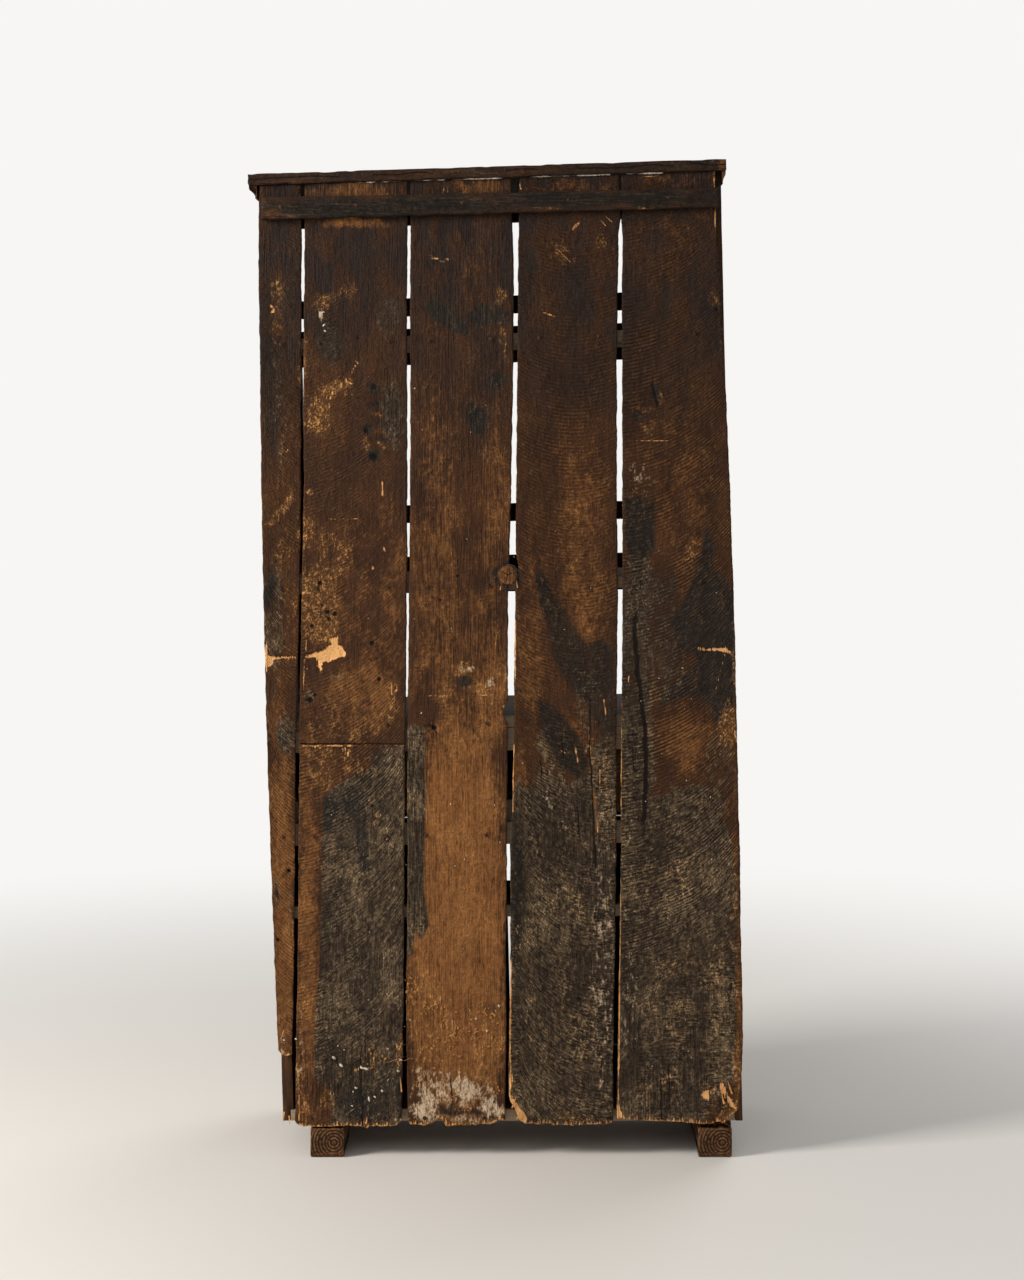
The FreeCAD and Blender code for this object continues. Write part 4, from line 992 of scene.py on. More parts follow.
@functools.cache
def sawn_pine():
    """The back: rough sawn, smoked dark, warm and grey in turns, chipped to new wood, with the
    painted shade and highlight of its relief and a painted shadow round the edge knot.
    """
    finish = Finish("sawn_back_pine")
    noise, mix, between, stored = finish.noise, finish.mix, finish.between, finish.attribute
    grain = finish.place("grain")
    fibre = noise(grain, (0.0024, 0.0024, 0.050), 3, 0.6)
    ragged = noise(grain, (0.0035, 0.0035, 0.018), 3, 0.6)
    stroke = noise(finish.place("stroke"), (0.0021, 0.010, 0.0095), 3, 0.62)
    streak = noise(grain, (0.007, 0.007, 0.22), 3, 0.6)
    cloud = noise(grain, (0.034, 0.034, 0.06), 5, 0.62)
    drift = noise(grain, (0.06, 0.06, 0.13), 3, 0.6)
    crumble = noise(grain, (0.0060, 0.0060, 0.011), 4, 0.72)
    speck = noise(grain, (0.0027, 0.0027, 0.0036), 2, 0.6)
    # The same unevenness about zero
    streaky, cloudy, drifting = streak - 0.5, cloud - 0.5, drift - 0.5
    crumbly, specked = crumble - 0.5, speck - 0.5
    sawn = stored("sawn")
    brushed = between(sawn + cloudy * 0.9, -0.05, 0.45)
    hair = fibre + (stroke - fibre) * brushed
    hairy = hair - 0.5
    # How high the fine relief stands, for its painted shade and highlight below
    fine = between(hair * 0.7 + speck * 0.6 + crumble * 0.5, 0.68, 1.12)

    def broken(name, clouding, crumbling, low, high):
        """A patch's strength, clouded and crumbled by the wood's own unevenness."""
        edge = cloudy * clouding + crumbly * crumbling + hairy * 0.9
        strength = stored(name)
        return between(strength + edge, low, high) * between(strength, 0.0, 0.25)

    # Bare brown wood, smoked at the top, with warm and grey patches
    base = cloud + streaky * 0.4 + drifting * 0.5
    colour = mix(between(base, 0.3, 0.7), chocolate, brown)
    smoke = between(stored("smoke") + cloudy * 0.8, 0.0, 1.0)
    murk = cloud + streaky * 0.35 + drifting * 0.6
    dusk = mix(between(murk, 0.36, 0.66), smoke_black, smoke_brown)
    colour = mix(smoke, colour, dusk)
    clear = 1.0 - smoke * 0.75
    ember = streak * 0.5 + cloud * 0.9 + crumble * 0.5
    warm = mix(between(ember, 0.70, 1.25), red_brown, orange_brown)
    colour = mix(broken("warm", 0.7, 0.9, 0.1, 0.9), colour, warm)
    strands = hair + crumbly * 0.9 + cloudy * 0.6 + drifting * 0.7
    grey = mix(between(strands, 0.34, 0.90) * clear, charcoal, ash)
    greyed = broken("grey", 0.7, 0.9, 0.25, 0.7)
    colour = mix(greyed, colour, grey)

    # The saw's arcs, with painted shade in their kerfs and painted highlight on their crests
    wobble = cloudy * 2.4 + crumbly * 0.9
    wave = finish.math("SINE", stored("saw") * (2 * math.pi) + wobble)
    cut = sawn * between(crumble + cloudy, 0.22, 0.55)
    kerf = between(wave, -0.1, 0.9) * cut
    crest = between(wave * -1.0, 0.25, 1.0) * cut
    colour = mix(kerf * 0.7, colour, soot_and_shade)
    lit = crest * clear * between(stroke + cloudy * 0.8, 0.40, 0.70)
    colour = mix(lit * (0.6 + greyed * 0.2), colour, mix(greyed, ochre_brown, ash))

    # Tar, some of it painted shadow, rubbed ochre, grit, and the relief's painted shade and
    # highlight: dark pores and shade in its hollows, glints on its rises and a fine lighter and
    # darker mottle
    tar_and_painted_shadow = broken("tar_and_painted_shadow", 0.9, 0.7, 0.28, 0.72)
    stuck = mix(between(hair + crumbly * 0.6, 0.45, 0.75), tar_black, tar_brown)
    # Painted highlight: the saw's crests lighten the tar too.
    colour = mix(tar_and_painted_shadow * (0.96 - crest * 0.4), colour, stuck)
    ochre = mix(between(speck + crumbly, 0.4, 0.8), ochre_brown, ochre_light)
    colour = mix(broken("ochre", 0.9, 0.7, 0.15, 1.1) * 0.35, colour, ochre_brown)
    flecked = broken("ochre", 1.2, 1.6, 0.3, 1.1) * between(speck + crumbly * 0.5, 0.46, 0.62)
    colour = mix(flecked * 0.9, colour, ochre)
    dusted = between(stored("ochre") + cloudy * 1.2, 0.15, 0.8) + 0.2
    fleck = between(speck + crumbly * 0.9 + cloudy * 0.6, 0.66, 0.78)
    grit = mix(greyed, ochre_light, grit_pale)
    colour = mix(fleck * clear * dusted * 0.7, colour, grit)
    # Dark pores, and painted shade in the low places of the relief.
    pore_and_hollow_shade = between((0.5 - hair) + (0.5 - crumble) * 0.9, 0.06, 0.30)
    colour = mix(pore_and_hollow_shade * (0.3 + greyed * 0.35), colour, soot_and_shade)
    # Painted highlight: glints where the fine relief rises, strongest in the grey zones.
    bright = hair + specked * 1.3 + cloudy * 0.5 + drifting * 0.5
    glint = between(bright, 0.74, 0.92)
    colour = mix(glint * clear * greyed * (0.6 - tar_and_painted_shadow * 0.45), colour, glint_highlight)
    # Painted shade and highlight of the fine relief: the colour is darker in its low places and
    # lighter on its rises. The drift factor is the wood's own uneven tone.
    contrast = 0.5 + greyed * 0.6
    colour = finish.scaled(colour, (1.0 + (fine - 0.5) * contrast) * (0.72 + drift * 0.5))

    # Whitewash, wood chipped bare, nail and knot eyes, and cracks
    lime = broken("lime", 1.0, 3.2, 0.35, 1.05) * (1.0 - tar_and_painted_shadow)
    chalk = between(crumble + specked * 0.6, 0.32, 0.62)
    colour = mix(lime, colour, mix(chalk, lime_shade, lime_white))
    torn = (fibre - 0.5) * 1.1 + crumbly * 0.9
    bare = between(stored("bare") + torn, 0.62, 0.80)
    # Nicks are painted as new wood; along the fourth and fifth boards' left edges that is partly
    # painted highlight.
    nick = between(stored("nick") + crumbly * 4.5, 1.3, 0.5)
    bare = finish.math("MAXIMUM", bare, nick * 0.85)
    end = stored("end") * -70.0 + (ragged - 0.5) * 3.0
    bare = finish.math("MAXIMUM", bare, between(end, -0.35, 0.10) * 0.9)
    deep = fibre + (bare - 0.75) * 0.6
    new_wood = mix(between(deep, 0.35, 0.65), bare_shade, bare_cream)
    colour = mix(bare, colour, new_wood)
    pit = between(stored("pit") + specked * 0.5, 0.35, 0.75)
    colour = mix(pit, colour, soot_and_shade)
    crack = finish.math("ABSOLUTE", stored("crack"))
    split = between(crack + crumbly * 1.4, 1.3, 0.5)
    colour = mix(split, colour, soot_and_shade)

    inside = mix(between(streak, 0.3, 0.7), dust_brown, dust_light)
    colour = mix(stored("back"), inside, colour)
    height = hair * 4.0 + crumble * 4.0 + cloud * 8.0 - kerf * 1.6
    height = height - bare * 0.6 - pit * 0.8 - split * 1.2 + lime * 0.4
    finish.surface(colour, 0.8 - tar_and_painted_shadow * 0.25, height)
    return finish.owner


def aged_pine(name, dark, light, grime, rubbed, wear, roughness, ring_pitch=0.0):
    """Old pine: streaked along its grain, grimy in clouds and rubbed lighter at its edges, with
    painted shade in the low places of its relief.
    """
    finish = Finish(name)
    mix, between = finish.mix, finish.between
    grain = finish.place("grain")
    fibre = finish.noise(grain, (0.0010, 0.0010, 0.06), 4, 0.6)
    streak = finish.noise(grain, (0.005, 0.005, 0.22), 4, 0.6, 0.3)
    cloud = finish.noise(grain, (0.045, 0.045, 0.17), 5, 0.62)
    crumble = finish.noise(grain, (0.004, 0.004, 0.009), 4, 0.7)
    crumbly = crumble - 0.5
    colour = mix(between(streak, 0.34, 0.66), dark, light)
    if ring_pitch:
        radius = finish.length(finish.times(grain, (1.0, 1.0, 0.0)))
        ring = finish.math("SINE", radius * (2 * math.pi / ring_pitch) + cloud * 4.0)
        colour = mix(between(ring, -0.5, 0.6), colour, dark)
    colour = mix(between(cloud + crumbly * 0.5, 0.42, 0.68) * grime, colour, soot_and_shade)
    # The rear strip of inner pieces and the waist board is made paler: bare wood, and painted light
    # on these edges.
    raw = finish.attribute("raw") * between(fibre, 0.2, 0.6)
    colour = mix(raw, colour, pale_dust_and_painted_light)
    near = between(finish.attribute("rim") + (cloud - 0.5) * 0.02, 0.0045, 0.0)
    bare = near * between(crumble, 0.38, 0.6) * wear
    colour = mix(bare, colour, mix(fibre, rubbed, light))
    # Dark pores, and painted shade in the low places of the relief.
    pore_and_hollow_shade = between((0.5 - fibre) + (0.5 - crumble) * 0.5, 0.12, 0.26)
    colour = mix(pore_and_hollow_shade * 0.5, colour, soot_and_shade)
    height = fibre * 0.35 + crumble * 0.35 + cloud * 0.4 - bare * 0.2
    finish.surface(colour, roughness + crumbly * 0.3, height)
    return finish.owner


@functools.cache
def case_pine():
    """The case's outside, doors and mouldings: an old dark varnish worn off the edges."""
    return aged_pine("case_pine", dark_varnish, brown, 0.6, rubbed_brown, 0.55, 0.62)


@functools.cache
def inside_pine():
    """Shelves and inner members: bare, dusty and grey at the edges, their pale edges and rear strip
    partly painted light.
    """
    return aged_pine("inside_pine", dust_brown, dust_light, 0.45, pale_dust_and_painted_light, 0.6, 0.85)


@functools.cache
def drawer_pine():
    """Drawer boxes: cleaner wood, handled at the top edges."""
    return aged_pine("drawer_pine", drawer_shade, drawer_light, 0.3, drawer_pale, 0.7, 0.8)


@functools.cache
def foot_pine():
    """Sledge feet: soaked dark, with their rings showing at the ends."""
    return aged_pine("foot_pine", foot_dark, foot_light, 0.5, rubbed_brown, 0.6, 0.85, 0.0055)


@functools.cache
def knob_wood():
    """Turned knobs: dark and polished by hands."""
    finish = Finish("knob_wood")
    place = finish.own_place()
    streak = finish.noise(place, (0.002, 0.05, 0.002), 4, 0.6)
    cloud = finish.noise(place, (0.014, 0.014, 0.014), 4, 0.6)
    colour = finish.mix(finish.between(streak, 0.35, 0.65), dark_varnish, red_brown)
    colour = finish.mix(finish.between(cloud, 0.45, 0.7) * 0.7, colour, soot_and_shade)
    finish.surface(colour, 0.32 + cloud * 0.25, streak * 0.15 + cloud * 0.2)
    return finish.owner


@functools.cache
def forged_iron():
    """Hinges, screws and nails: dark iron under a skin of rust."""
    finish = Finish("forged_iron")
    place = finish.own_place()
    bloom = finish.noise(place, (0.006, 0.006, 0.006), 5, 0.65)
    scale = finish.noise(place, (0.0012, 0.0012, 0.0012), 3, 0.6)
    rusted = finish.between(bloom + (scale - 0.5) * 0.5, 0.42, 0.62)
    rust = finish.mix(finish.between(scale, 0.4, 0.65), rust_brown, rust_orange)
    colour = finish.mix(rusted, iron_black, rust)
    shine = {"Metallic": 0.85 - rusted * 0.8}
    finish.surface(colour, 0.5 + rusted * 0.35, scale * 0.25 + bloom * 0.2, shine)
    return finish.owner


@functools.cache
def torn_pine():
    """Fresh wood where slivers have torn away."""
    finish = Finish("torn_pine")
    place = finish.own_place()
    fibre = finish.noise(place, (0.0008, 0.0008, 0.01), 3, 0.6)
    cloud = finish.noise(place, (0.006, 0.006, 0.012), 3, 0.6)
    colour = finish.mix(finish.between(fibre, 0.35, 0.65), bare_shade, bare_cream)
    colour = finish.mix(finish.between(cloud, 0.4, 0.6) * 0.5, colour, orange_brown)
    finish.surface(colour, 0.8, fibre * 0.3)
    return finish.owner


def gritty(name, dark, light, low, high):
    """Dry crumbling stuff, dark in its grit below low and light above high."""
    finish = Finish(name)
    grit = finish.noise(finish.own_place(), (0.003, 0.003, 0.003), 4, 0.6)
    colour = finish.mix(finish.between(grit, low, high), dark, light)
    finish.surface(colour, 0.9, grit * 0.4)
    return finish.owner


@functools.cache
def plain_chalk():
    """Crumbs of plaster and the dried line of whitewash."""
    return gritty("whitewash", chalk_shade, chalk_white, 0.4, 0.6)


@functools.cache
def dry_dirt():
    """Clots of dirt and wood dust, brown like the boards."""
    return gritty("dry_dirt", ochre_brown, ochre_light, 0.35, 0.65)


# Small pieces of the back

def solid_parts(node):
    """Corner places of each separate solid of a CAD node."""
    solid = welded(node)
    groups = vertex_groups(solid)
    points = np.array([vertex.co for vertex in solid.verts])
    solid.free()
    return [points[group] for group in groups]


def joined(name, shapes, body, finish, nodes=(), angle=32):
    """One piece out of several closed shapes, each given as its points and its faces."""
    points, faces = [], []
    for shape_points, shape_faces in shapes:
        start = len(points)
        points.extend(tuple(point) for point in shape_points)
        faces.extend(tuple(start + index for index in face) for face in shape_faces)
    mesh = bpy.data.meshes.new(name)
    mesh.from_pydata(points, [], faces)
    mesh.validate()
    smooth_by_angle(mesh, angle)
    return add_piece(name, mesh, body, finish, nodes)


def ring_faces(rings, size):
    """Faces of a closed shape made of rings of points, with a cap at each end."""
    faces = []
    for ring in range(rings - 1):
        for index in range(size):
            here, beside = ring * size + index, ring * size + (index + 1) % size
            faces.append((here, beside, beside + size, here + size))
    faces.append(tuple(reversed(range(size))))
    faces.append(tuple((rings - 1) * size + index for index in range(size)))
    return faces


# Rings of a nail's head: share of its radius, rise over the wood in metres
head_rings = ((1.0, -0.0006), (1.0, 0.0002), (0.72, 0.0008), (0.25, 0.0011))
head_sides = 8
head_sunk = 0.0004  # below the end of the solid nail


def nail_head(place, dice):
    """A hammered head: an uneven round foot, a shoulder and a small crown."""
    points = []
    turn = dice.uniform(0, 2 * math.pi)
    radius = dice.uniform(0.0030, 0.0040)
    for share, rise in head_rings:
        for index in range(head_sides):
            angle = turn + index * 2 * math.pi / head_sides
            reach = share * radius * dice.uniform(0.88, 1.1)
            points.append((
                place[0] - reach * math.cos(angle), place[1] + rise,
                place[2] + reach * math.sin(angle),
            ))
    return points, ring_faces(len(head_rings), head_sides)


def make_nails():
    """Heads of the cut nails of the back, where the solid nails are."""
    dice = random.Random(7)
    shapes = []
    for part in solid_parts("back_nails"):
        middle = (part.min(0) + part.max(0)) / 2
        place = middle[0], part[:, 1].max() - head_sunk, middle[2]
        shapes.append(nail_head(place, dice))
    joined("cut_nail_heads", shapes, "case", forged_iron(), ("back_nails",), 40)


# Slivers: (column, row, length and width in pixels, turn in degrees from upright, lift in metres)
slivers = (
    (284, 1112, -12, 2.2, 5, 0.002), (289, 1116, -9, 1.8, -6, 0.002),
    (401.5, 1092, 16, 1.8, -5, 0.003), (404, 1061, 9, 1.0, 62, 0.005),
    (386, 1063, 24, 0.8, 70, 0.004), (366, 1124, 8, 2.2, 8, 0.002),
    (446.5, 1124, 7, 2.4, -10, 0.002), (512, 1108, 14, 2.2, 20, 0.003),
    (517, 1119, 9, 2.6, 28, 0.003), (504, 1114, 10, 1.8, -8, 0.002),
    (724, 1104, 15, 2.4, -12, 0.003), (732, 1094, 15, 2.6, -18, 0.003),
    (573, 228, 7, 1.2, 38, 0.003), (612, 222, 9, 1.1, -48, 0.002), (606, 226, 8, 1.0, -42, 0.002),
    (500, 590, 5, 1.6, 12, 0.003), (517.5, 588, 8, 1.4, -8, 0.003), (471, 1109, 8, 1.6, -60, 0.003),
    (706, 650, 6, 1.6, -86, 0.002), (722, 1092, 8, 1.6, 14, 0.002),
)
sliver_rings = 5
sliver_sides = 4
sliver_tip = 0.00012  # half the thickness of a sliver at its free end
sliver_sway = 0.0003


def splinter(column, row, length, width, turn, lift, dice):
    """A torn sliver that lies along the grain and lifts off at its free end."""
    points = []
    slope = math.radians(turn)
    for ring in range(sliver_rings):
        share = ring / (sliver_rings - 1)
        half = width * pixel / 2 * (1 - share ** 1.6) + sliver_tip
        reach = length * pixel * share
        x = across(column) - reach * math.sin(slope) + dice.uniform(-1, 1) * sliver_sway * share
        z = above(row) + reach * math.cos(slope)
        for index in range(sliver_sides):
            angle = (index + 0.5) * 2 * math.pi / sliver_sides
            y = rear + lift * share + 0.6 * half * math.sin(angle)
            points.append((x - half * math.cos(angle), y, z))
    return points, ring_faces(sliver_rings, sliver_sides)


def make_slivers():
    """Torn slivers at the boards' ends, nail holes and chips."""
    dice = random.Random(11)
    shapes = [splinter(*sliver, dice) for sliver in slivers]
    joined("torn_slivers", shapes, "case", torn_pine())


# Plaster crumbs that stuck to the back: (column, row, radius in pixels)
crumbs = (
    (334, 1058, 2.2), (341, 1065, 1.9), (366, 1069, 2.2), (362, 1068, 1.8), (398, 1071, 1.8),
    (356, 1088, 2.0), (353, 1092, 1.2), (369, 1099, 2.2), (375, 1097, 1.4), (382, 1091, 1.6),
    (344, 1050, 1.1), (352, 1106, 1.0), (388, 1080, 0.9), (296, 1039, 1.6), (284, 1040, 1.5),
    (410, 1020, 1.0), (499, 1006, 1.4), (476, 1019, 1.2), (452, 1021, 1.0), (338, 1046, 1.0),
    (401, 1060, 1.6), (388, 1049, 0.9), (324, 325, 1.4), (325, 331, 1.3), (323.5, 312, 1.3),
    (384, 549, 1.0), (487, 1031, 1.1), (560, 1118, 1.1),
)
strewn = 130  # more of them, tiny, anywhere in these columns and rows
strewn_columns = (304, 730)
strewn_rows = (300, 1120, 1000)  # first, last and most likely
strewn_sizes = (0.0006, 0.0014)
# Dirt in clots: (column, row, half width, half height, how many)
dirt = (
    (455, 1038, 34, 24, 60), (432, 1008, 10, 8, 26), (490, 1012, 12, 8, 22), (452, 1036, 8, 5, 20),
    (470, 1090, 30, 14, 16), (372, 1060, 16, 12, 22), (412, 990, 7, 16, 22), (475, 1035, 5, 8, 10),
)
dirt_sizes = (0.0010, 0.0033)
# Rings of a crumb: share of its radius, rise over the wood as a share of its size
crumb_rings = ((0.7, -0.4), (1.0, 0.1), (0.7, 0.55), (0.2, 0.75))
crumb_sides = 6


def crumb(place, size, dice):
    """A small uneven lump, flat on the wood."""
    points = []
    turn = dice.uniform(0, math.pi)
    wide = size * dice.uniform(0.7, 1.5)
    for share, rise in crumb_rings:
        for index in range(crumb_sides):
            angle = index * 2 * math.pi / crumb_sides
            reach = share * dice.uniform(0.6, 1.25)
            along, beside = reach * wide * math.cos(angle), reach * size * 0.7 * math.sin(angle)
            points.append((
                place[0] + along * math.cos(turn) - beside * math.sin(turn),
                place[1] + rise * size * 0.8,
                place[2] + along * math.sin(turn) + beside * math.cos(turn),
            ))
    return points, ring_faces(len(crumb_rings), crumb_sides)


def make_crumbs():
    """Crumbs of plaster, seen one by one and strewn, and clots of dirt."""
    dice = random.Random(13)
    shapes = [
        crumb((across(column), rear, above(row)), radius * pixel, dice)
        for column, row, radius in crumbs
    ]
    for _ in range(strewn):
        x = across(dice.uniform(*strewn_columns))
        z = above(dice.triangular(*strewn_rows))
        shapes.append(crumb((x, rear - 0.0008, z), dice.uniform(*strewn_sizes), dice))
    joined("plaster_crumbs", shapes, "case", plain_chalk(), (), 60)
    shapes = []
    for column, row, half_width, half_height, count in dirt:
        for _ in range(count):
            x = across(column + dice.gauss(0, 0.5) * half_width)
            z = above(row + dice.gauss(0, 0.5) * half_height)
            shapes.append(crumb((x, rear - 0.001, z), dice.uniform(*dirt_sizes), dice))
    joined("dirt_crumbs", shapes, "case", dry_dirt(), (), 60)


whitewash_runs = ((358, 402), (414, 446), (452, 505), (530, 612), (626, 664))  # in columns
run_sides = 6
run_end = 0.0001  # radius of a run's ends


def make_whitewash_line():
    """The dried run of whitewash along the top board's underside."""
    dice = np.random.default_rng(17)
    shapes = []
    for first, last in whitewash_runs:
        columns = np.arange(first, last, 1.5)
        thick = np.clip(0.55 + 0.9 * waver(columns, 7, 19), 0.08, 1.3) * pixel
        thick[[0, -1]] = run_end
        points = []
        for column, radius in zip(columns, thick):
            drop = above(top_row(column)) - 0.0012 + dice.uniform(-1, 1) * 0.0004
            for index in range(run_sides):
                angle = index * 2 * math.pi / run_sides
                points.append((
                    across(column), rear + 0.0015 + radius * math.cos(angle),
                    drop + 0.8 * radius * math.sin(angle),
                ))
        shapes.append((points, ring_faces(len(columns), run_sides)))
    joined("whitewash_line", shapes, "case", plain_chalk(), (), 60)


def make_edge_knot():
    """The knot that bridges the third and fourth back boards, ringed and checked, its rim darkened
    with painted shadow.
    """
    column, row, radius = 507.5, 575.0, 10.6
    spokes, rings = 48, 12
    angle, share = np.meshgrid(
        np.linspace(0, 2 * math.pi, spokes, endpoint=False), np.linspace(0.03, 1, rings),
    )
    reach = share * radius * (1 + 0.06 * ripple(np.cos(angle) * 9, np.sin(angle) * 9, 6, 51))
    columns = column + reach * np.cos(angle)
    rows = row + reach * np.sin(angle)
    face = rear + 0.0012 - 0.0018 * share ** 6 + 0.0006 * ripple(columns, rows, 3, 53)
    outer = stacked(across(columns), face, above(rows))
    inner = outer[::-1].copy()
    inner[..., 1] = board_front
    points = np.concatenate([outer, inner]).reshape(-1, 3)
    mesh = bpy.data.meshes.new("edge_knot")
    mesh.from_pydata(points.tolist(), [], ring_faces(2 * rings, spokes))
    mesh.validate()
    smooth_by_angle(mesh, 40)

    def there_and_back(values):
        """Values of the knot's points: its rear face's, and its front face's in return."""
        return np.concatenate([values, values[::-1]]).ravel()

    turn = there_and_back(angle)
    away = there_and_back(reach) * pixel
    cracked = (np.abs(np.sin(turn * 1.5 + 0.6)) * away + 0.0004) / pixel
    set_values(mesh, "grain", stacked(
        there_and_back(columns) * pixel, away * 0, there_and_back(rows) * pixel,
    ))
    set_values(mesh, "crack", np.where(away > 0.012, no_crack, cracked))
    # Painted shadow, dark round the knot's rim, stored with the tar.
    set_values(mesh, "tar_and_painted_shadow", 1.1 * eased(away, 0.0145, 0.018))
    set_same(mesh, back=1.0, warm=0.5, ochre=0.35, nick=no_nick, end=1.0)
    add_piece("edge_knot", mesh, "case", sawn_pine())


def make_batten():
    """The batten across the top of the back, bruised along its edges, with worn ends."""
    (left, left_top, left_low), (right, right_top, right_low) = batten_ends
    face_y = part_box("back_batten")[1].y
    width = (right - left) * pixel
    height = (left_low - left_top) * pixel
    share, down = np.meshgrid(
        spread(width, grid_pitch, rim_steps), spread(height, 0.0025, rim_steps),
    )
    columns = left + share * (right - left)
    upper = left_top + share * (right_top - left_top)
    lower = left_low + share * (right_low - left_low)
    upper = upper + 0.5 * waver(columns, 14, 61)
    lower = lower + 0.6 * waver(columns, 10, 62)
    rows = upper + down * (lower - upper)
    columns = columns + 0.9 * waver(rows, 5, 63) * np.abs(2 * share - 1) ** 30
    ends = np.minimum(share, 1 - share) * width
    stains = stained(columns, rows, batten_stains)
    face = face_y - rounded(np.minimum(down, 1 - down) * height, 0.003) - rounded(ends, 0.003)
    face += 0.0004 * ripple(columns, rows * 3, 12, 64) - 0.0004
    face -= 0.0022 * eased(stains["bare"], 0.3, 0.8) + 0.0015 * eased(stains["grey"], 0.3, 0.9)
    outer = stacked(across(columns), face, above(rows))
    inner = outer.copy()
    inner[..., 1] = rear
    mesh = slab_mesh("worn_batten", outer, inner)
    set_values(mesh, "grain", stacked(
        two_faced(rows) * pixel + 3.1, two_faced(face, rear), two_faced(columns) * pixel,
    ))
    for kind, values in stains.items():
        set_values(mesh, kind, two_faced(values))
    set_values(mesh, "end", two_faced(ends + 0.02))
    set_same(mesh, crack=no_crack, nick=no_nick, smoke=0.9, back=1.0)
    add_piece("worn_batten", mesh, "case", sawn_pine(), ("back_batten",))


def make_top_board():
    """The top board, its rear edge bruised and split, one end hollowed by a knot."""
    low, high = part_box("top_board")
    width = high.x - low.x
    slope = (top_high.z - top_low.z) / (top_high.x - top_low.x)
    thickness = high.z - low.z + slope * width
    corner = 0.0022
    station = high.x - spread(width, 0.005, rim_steps) * width
    edge = np.array([0.08, 0.2, 0.32, 0.42]) * thickness
    turn = np.radians([0, 30, 60, 90])
    deep = np.linspace(high.y - corner - 0.004, low.y + corner + 0.004, 22)
    y = np.concatenate([
        np.full(len(edge), high.y), high.y - corner * (1 - np.cos(turn)), deep,
        low.y + corner * (1 - np.sin(turn)), np.full(len(edge), low.y),
    ])
    rise = np.concatenate([
        edge, thickness / 2 - corner * (1 - np.sin(turn)), np.full(len(deep), thickness / 2),
        thickness / 2 - corner * (1 - np.cos(turn)), edge[::-1],
    ])
    near_arris = eased(rise[None, :] / thickness, 0.3, 0.5)
    skins = []
    for side_up in (1, -1):
        x, depth = np.meshgrid(station, y, indexing="ij")
        columns = middle_column - x / pixel
        middle = above(top_row(columns)) + thickness / 2
        z = middle + side_up * rise[None, :] - 0.0004
        at_rear = eased(depth, high.y - 0.02, high.y)
        chip = np.clip(ripple(columns, columns * 0 + 5 * side_up, 9, 71) - 0.1, 0, 1)
        gouge = np.clip(ripple(columns, z / pixel, 3.5, 72), 0, 1)
        depth = depth - at_rear * (0.0032 * chip * near_arris + 0.0009 * gouge)
        z = z - side_up * at_rear * 0.0016 * chip * near_arris
        z = z + 0.0004 * ripple(columns, depth / pixel, 30, 73)
        end = np.minimum(x - low.x, high.x - x)
        inward = np.sign(low.x + width / 2 - x) * eased(end, 0.004, 0)
        x = x + inward * 0.002 * np.abs(ripple(depth / pixel, z / pixel, 4, 74))
        skins.append(stacked(x, depth, z))
    mesh = slab_mesh("worn_top_board", *skins)
    x, y, z = np.array([vertex.co for vertex in mesh.vertices]).T
    columns = middle_column - x / pixel
    rows = ground_row - z / pixel
    at_rear = eased(y, high.y - 0.03, high.y - 0.01)
    line = top_row(columns) - thickness / pixel * (0.55 + 0.12 * waver(columns, 21, 75))
    split = np.where(at_rear > 0.5, (rows - line) / 0.7, no_crack)
    split = np.where(waver(columns, 40, 76) > -0.25, split, no_crack)
    set_values(mesh, "grain", stacked(z + 5.3, y, x))
    for kind, values in stained(columns, rows, top_stains).items():
        set_values(mesh, kind, values * at_rear)
    set_values(mesh, "tar_and_painted_shadow", 0.35 * at_rear)
    set_values(mesh, "crack", split)
    set_same(mesh, nick=no_nick, end=1.0, smoke=0.8, back=1.0)
    add_piece("worn_top_board", mesh, "case", sawn_pine(), ("top_board",))


foot_heart = (0.012, 0.011)  # from the middle of a foot's end to the heart of its rings


def make_worn_pieces():
    """Every other wooden piece, worn from its solid and set to ride where the solid does."""
    outside = (
        "base_rail", "cornice_front", "cornice_left", "cornice_right", "drawer_divider",
        "drawer_rail", "frieze_board", "guard_rails", "middle_shelf_rail", "side_board_left",
        "side_board_right", "stile_left", "stile_right", "top_shelf_rail", "waist_board",
    )
    inside = (
        "bottom_board", "drawer_runners", "lower_shelf", "middle_shelf", "runner_rail",
        "top_shelf", "waist_cleat",
    )
    for node in outside:
        worn_copy(node, "case", case_pine(), raw=node == "waist_board")
    for node in inside:
        worn_copy(node, "case", inside_pine(), raw=True)
    for node in ("sledge_foot_left", "sledge_foot_right"):
        worn_copy(
            node, "case", foot_pine(), soft=0.003, wear=0.0012, pitch=0.012,
            heart=foot_heart,
        )
    for hand in ("left", "right"):
        door = hand + "_door"
        for part in ("_bottom_rail", "_hinge_stile", "_lock_stile", "_top_rail"):
            worn_copy(door + part, door, case_pine(), soft=0.0008, wear=0.0002)
        worn_copy(
            door + "_panel", door, case_pine(), soft=0.0005, wear=0.0002, axis=2,
        )
        drawer = hand + "_drawer"
        worn_copy(drawer + "_front", drawer, case_pine(), soft=0.0008, wear=0.0002)
        for part in ("_back", "_bottom", "_sides"):
            worn_copy(
                drawer + part, drawer, drawer_pine(), soft=0.0006, wear=0.0002,
            )
    worn_copy(
        "turn_button", "turn_button", case_pine(), soft=0.0005, wear=0.0001,
        pitch=0.008,
    )


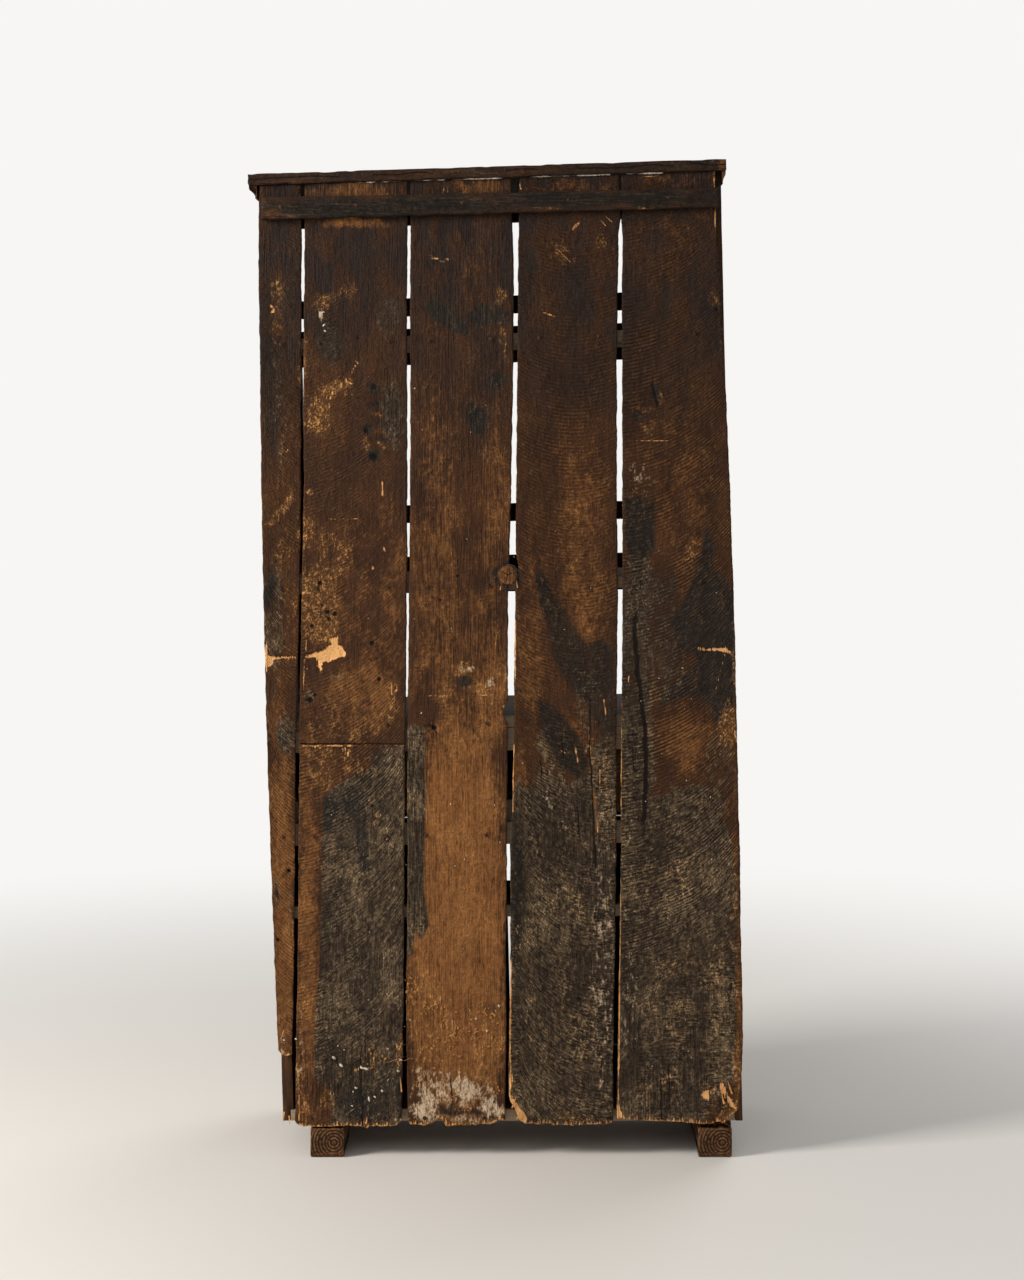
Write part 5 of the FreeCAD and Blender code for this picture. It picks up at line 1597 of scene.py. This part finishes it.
def finish_turned_and_iron_parts():
    """The turned and forged parts keep their solids' shape and only take a finish."""
    for node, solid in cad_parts.items():
        if node.endswith("_knob"):
            chosen, slot = knob_wood(), "knob_wood"
        elif node.endswith("hinge_leaves") or node == "turn_button_screw":
            chosen, slot = forged_iron(), "forged_iron"
        else:
            continue
        solid.data.materials.clear()
        solid.data.materials.append(chosen)


# The studio

floor_radius = 60.0
floor_sides = 64
floor_fades = (0.7, 3.2)  # from the middle, in metres
room_light = 0.3
# Soft lights: name, place, the point it is aimed at, size in metres, power in watts, colour
lights = (
    ("window_light", (3.1, 1.7, 2.5), (0.0, 0.2, 0.9), 1.2, 150.0, (1.0, 0.95, 0.88)),
    ("camera_fill", (0.6, 4.2, 2.9), (0.0, 0.2, 0.9), 2.4, 22.0, (1.0, 1.0, 1.0)),
    ("front_fill", (-2.2, -3.2, 2.6), (0.0, 0.0, 0.9), 2.4, 55.0, (1.0, 1.0, 1.0)),
)


def make_floor():
    """A pale floor that keeps the cupboard's shadow and fades into the white around it."""
    mesh = bpy.data.meshes.new("studio_floor")
    turns = [2 * math.pi * number / floor_sides for number in range(floor_sides)]
    ring = [(floor_radius * math.cos(turn), floor_radius * math.sin(turn), 0) for turn in turns]
    mesh.from_pydata(ring, [], [tuple(range(floor_sides))])
    floor = bpy.data.objects.new("studio_floor", mesh)
    bpy.context.scene.collection.objects.link(floor)
    finish = Finish("pale_floor")
    away = finish.length(finish.own_place())
    seen = finish.node("LightPath", output="Is Camera Ray")
    lit = finish.node("BsdfPrincipled", inputs={
        "Base Color": opaque(floor_colour), "Roughness": 0.7,
    })
    blank = finish.node("Emission", inputs={"Color": opaque(white_around), "Strength": 1.0})
    factor = finish.between(away, *floor_fades) * seen
    shader = finish.node("MixShader", inputs={0: factor, 1: lit, 2: blank})
    finish.node("OutputMaterial", inputs={"Surface": shader})
    mesh.materials.append(finish.owner)


def make_surroundings():
    """Near white where the camera looks past the cupboard, a soft grey light elsewhere."""
    scene = bpy.context.scene
    scene.world = bpy.data.worlds.new("studio")
    finish = Finish("studio", scene.world)
    seen = finish.node("LightPath", output="Is Camera Ray")
    plain = finish.node("Background", inputs={"Color": opaque(white_around), "Strength": 1.0})
    soft = finish.node("Background", inputs={
        "Color": opaque(soft_light), "Strength": room_light,
    })
    shader = finish.node("MixShader", inputs={0: seen, 1: soft, 2: plain})
    finish.node("OutputWorld", inputs={"Surface": shader})


def add_light(name, place, target, size, power, colour):
    """A square soft light aimed at a point."""
    data = bpy.data.lights.new(name, "AREA")
    data.size = size
    data.energy = power
    data.color = colour
    light = bpy.data.objects.new(name, data)
    light.location = place
    light.rotation_euler = (Vector(target) - Vector(place)).to_track_quat("-Z", "Y").to_euler()
    bpy.context.scene.collection.objects.link(light)


def add_camera():
    """The reference view's camera: behind the cupboard, level, at standing height."""
    data = bpy.data.cameras.new("view_from_behind")
    data.sensor_width = 36.0
    data.lens = data.sensor_width * focal_pixels / view_height
    data.shift_x = (view_width / 2 - vanishing_column) / view_height
    data.shift_y = (horizon_row - view_height / 2) / view_height
    camera = bpy.data.objects.new("view_from_behind", data)
    camera.location = (across(vanishing_column), rear + camera_distance, above(horizon_row))
    camera.rotation_euler = (math.pi / 2, 0.0, math.pi)
    bpy.context.scene.collection.objects.link(camera)
    bpy.context.scene.camera = camera


make_back_boards()
make_batten()
make_top_board()
make_edge_knot()
make_nails()
make_slivers()
make_crumbs()
make_whitewash_line()
make_worn_pieces()
finish_turned_and_iron_parts()

make_floor()
make_surroundings()
for light in lights:
    add_light(*light)
add_camera()
bpy.context.scene.view_settings.view_transform = "Standard"
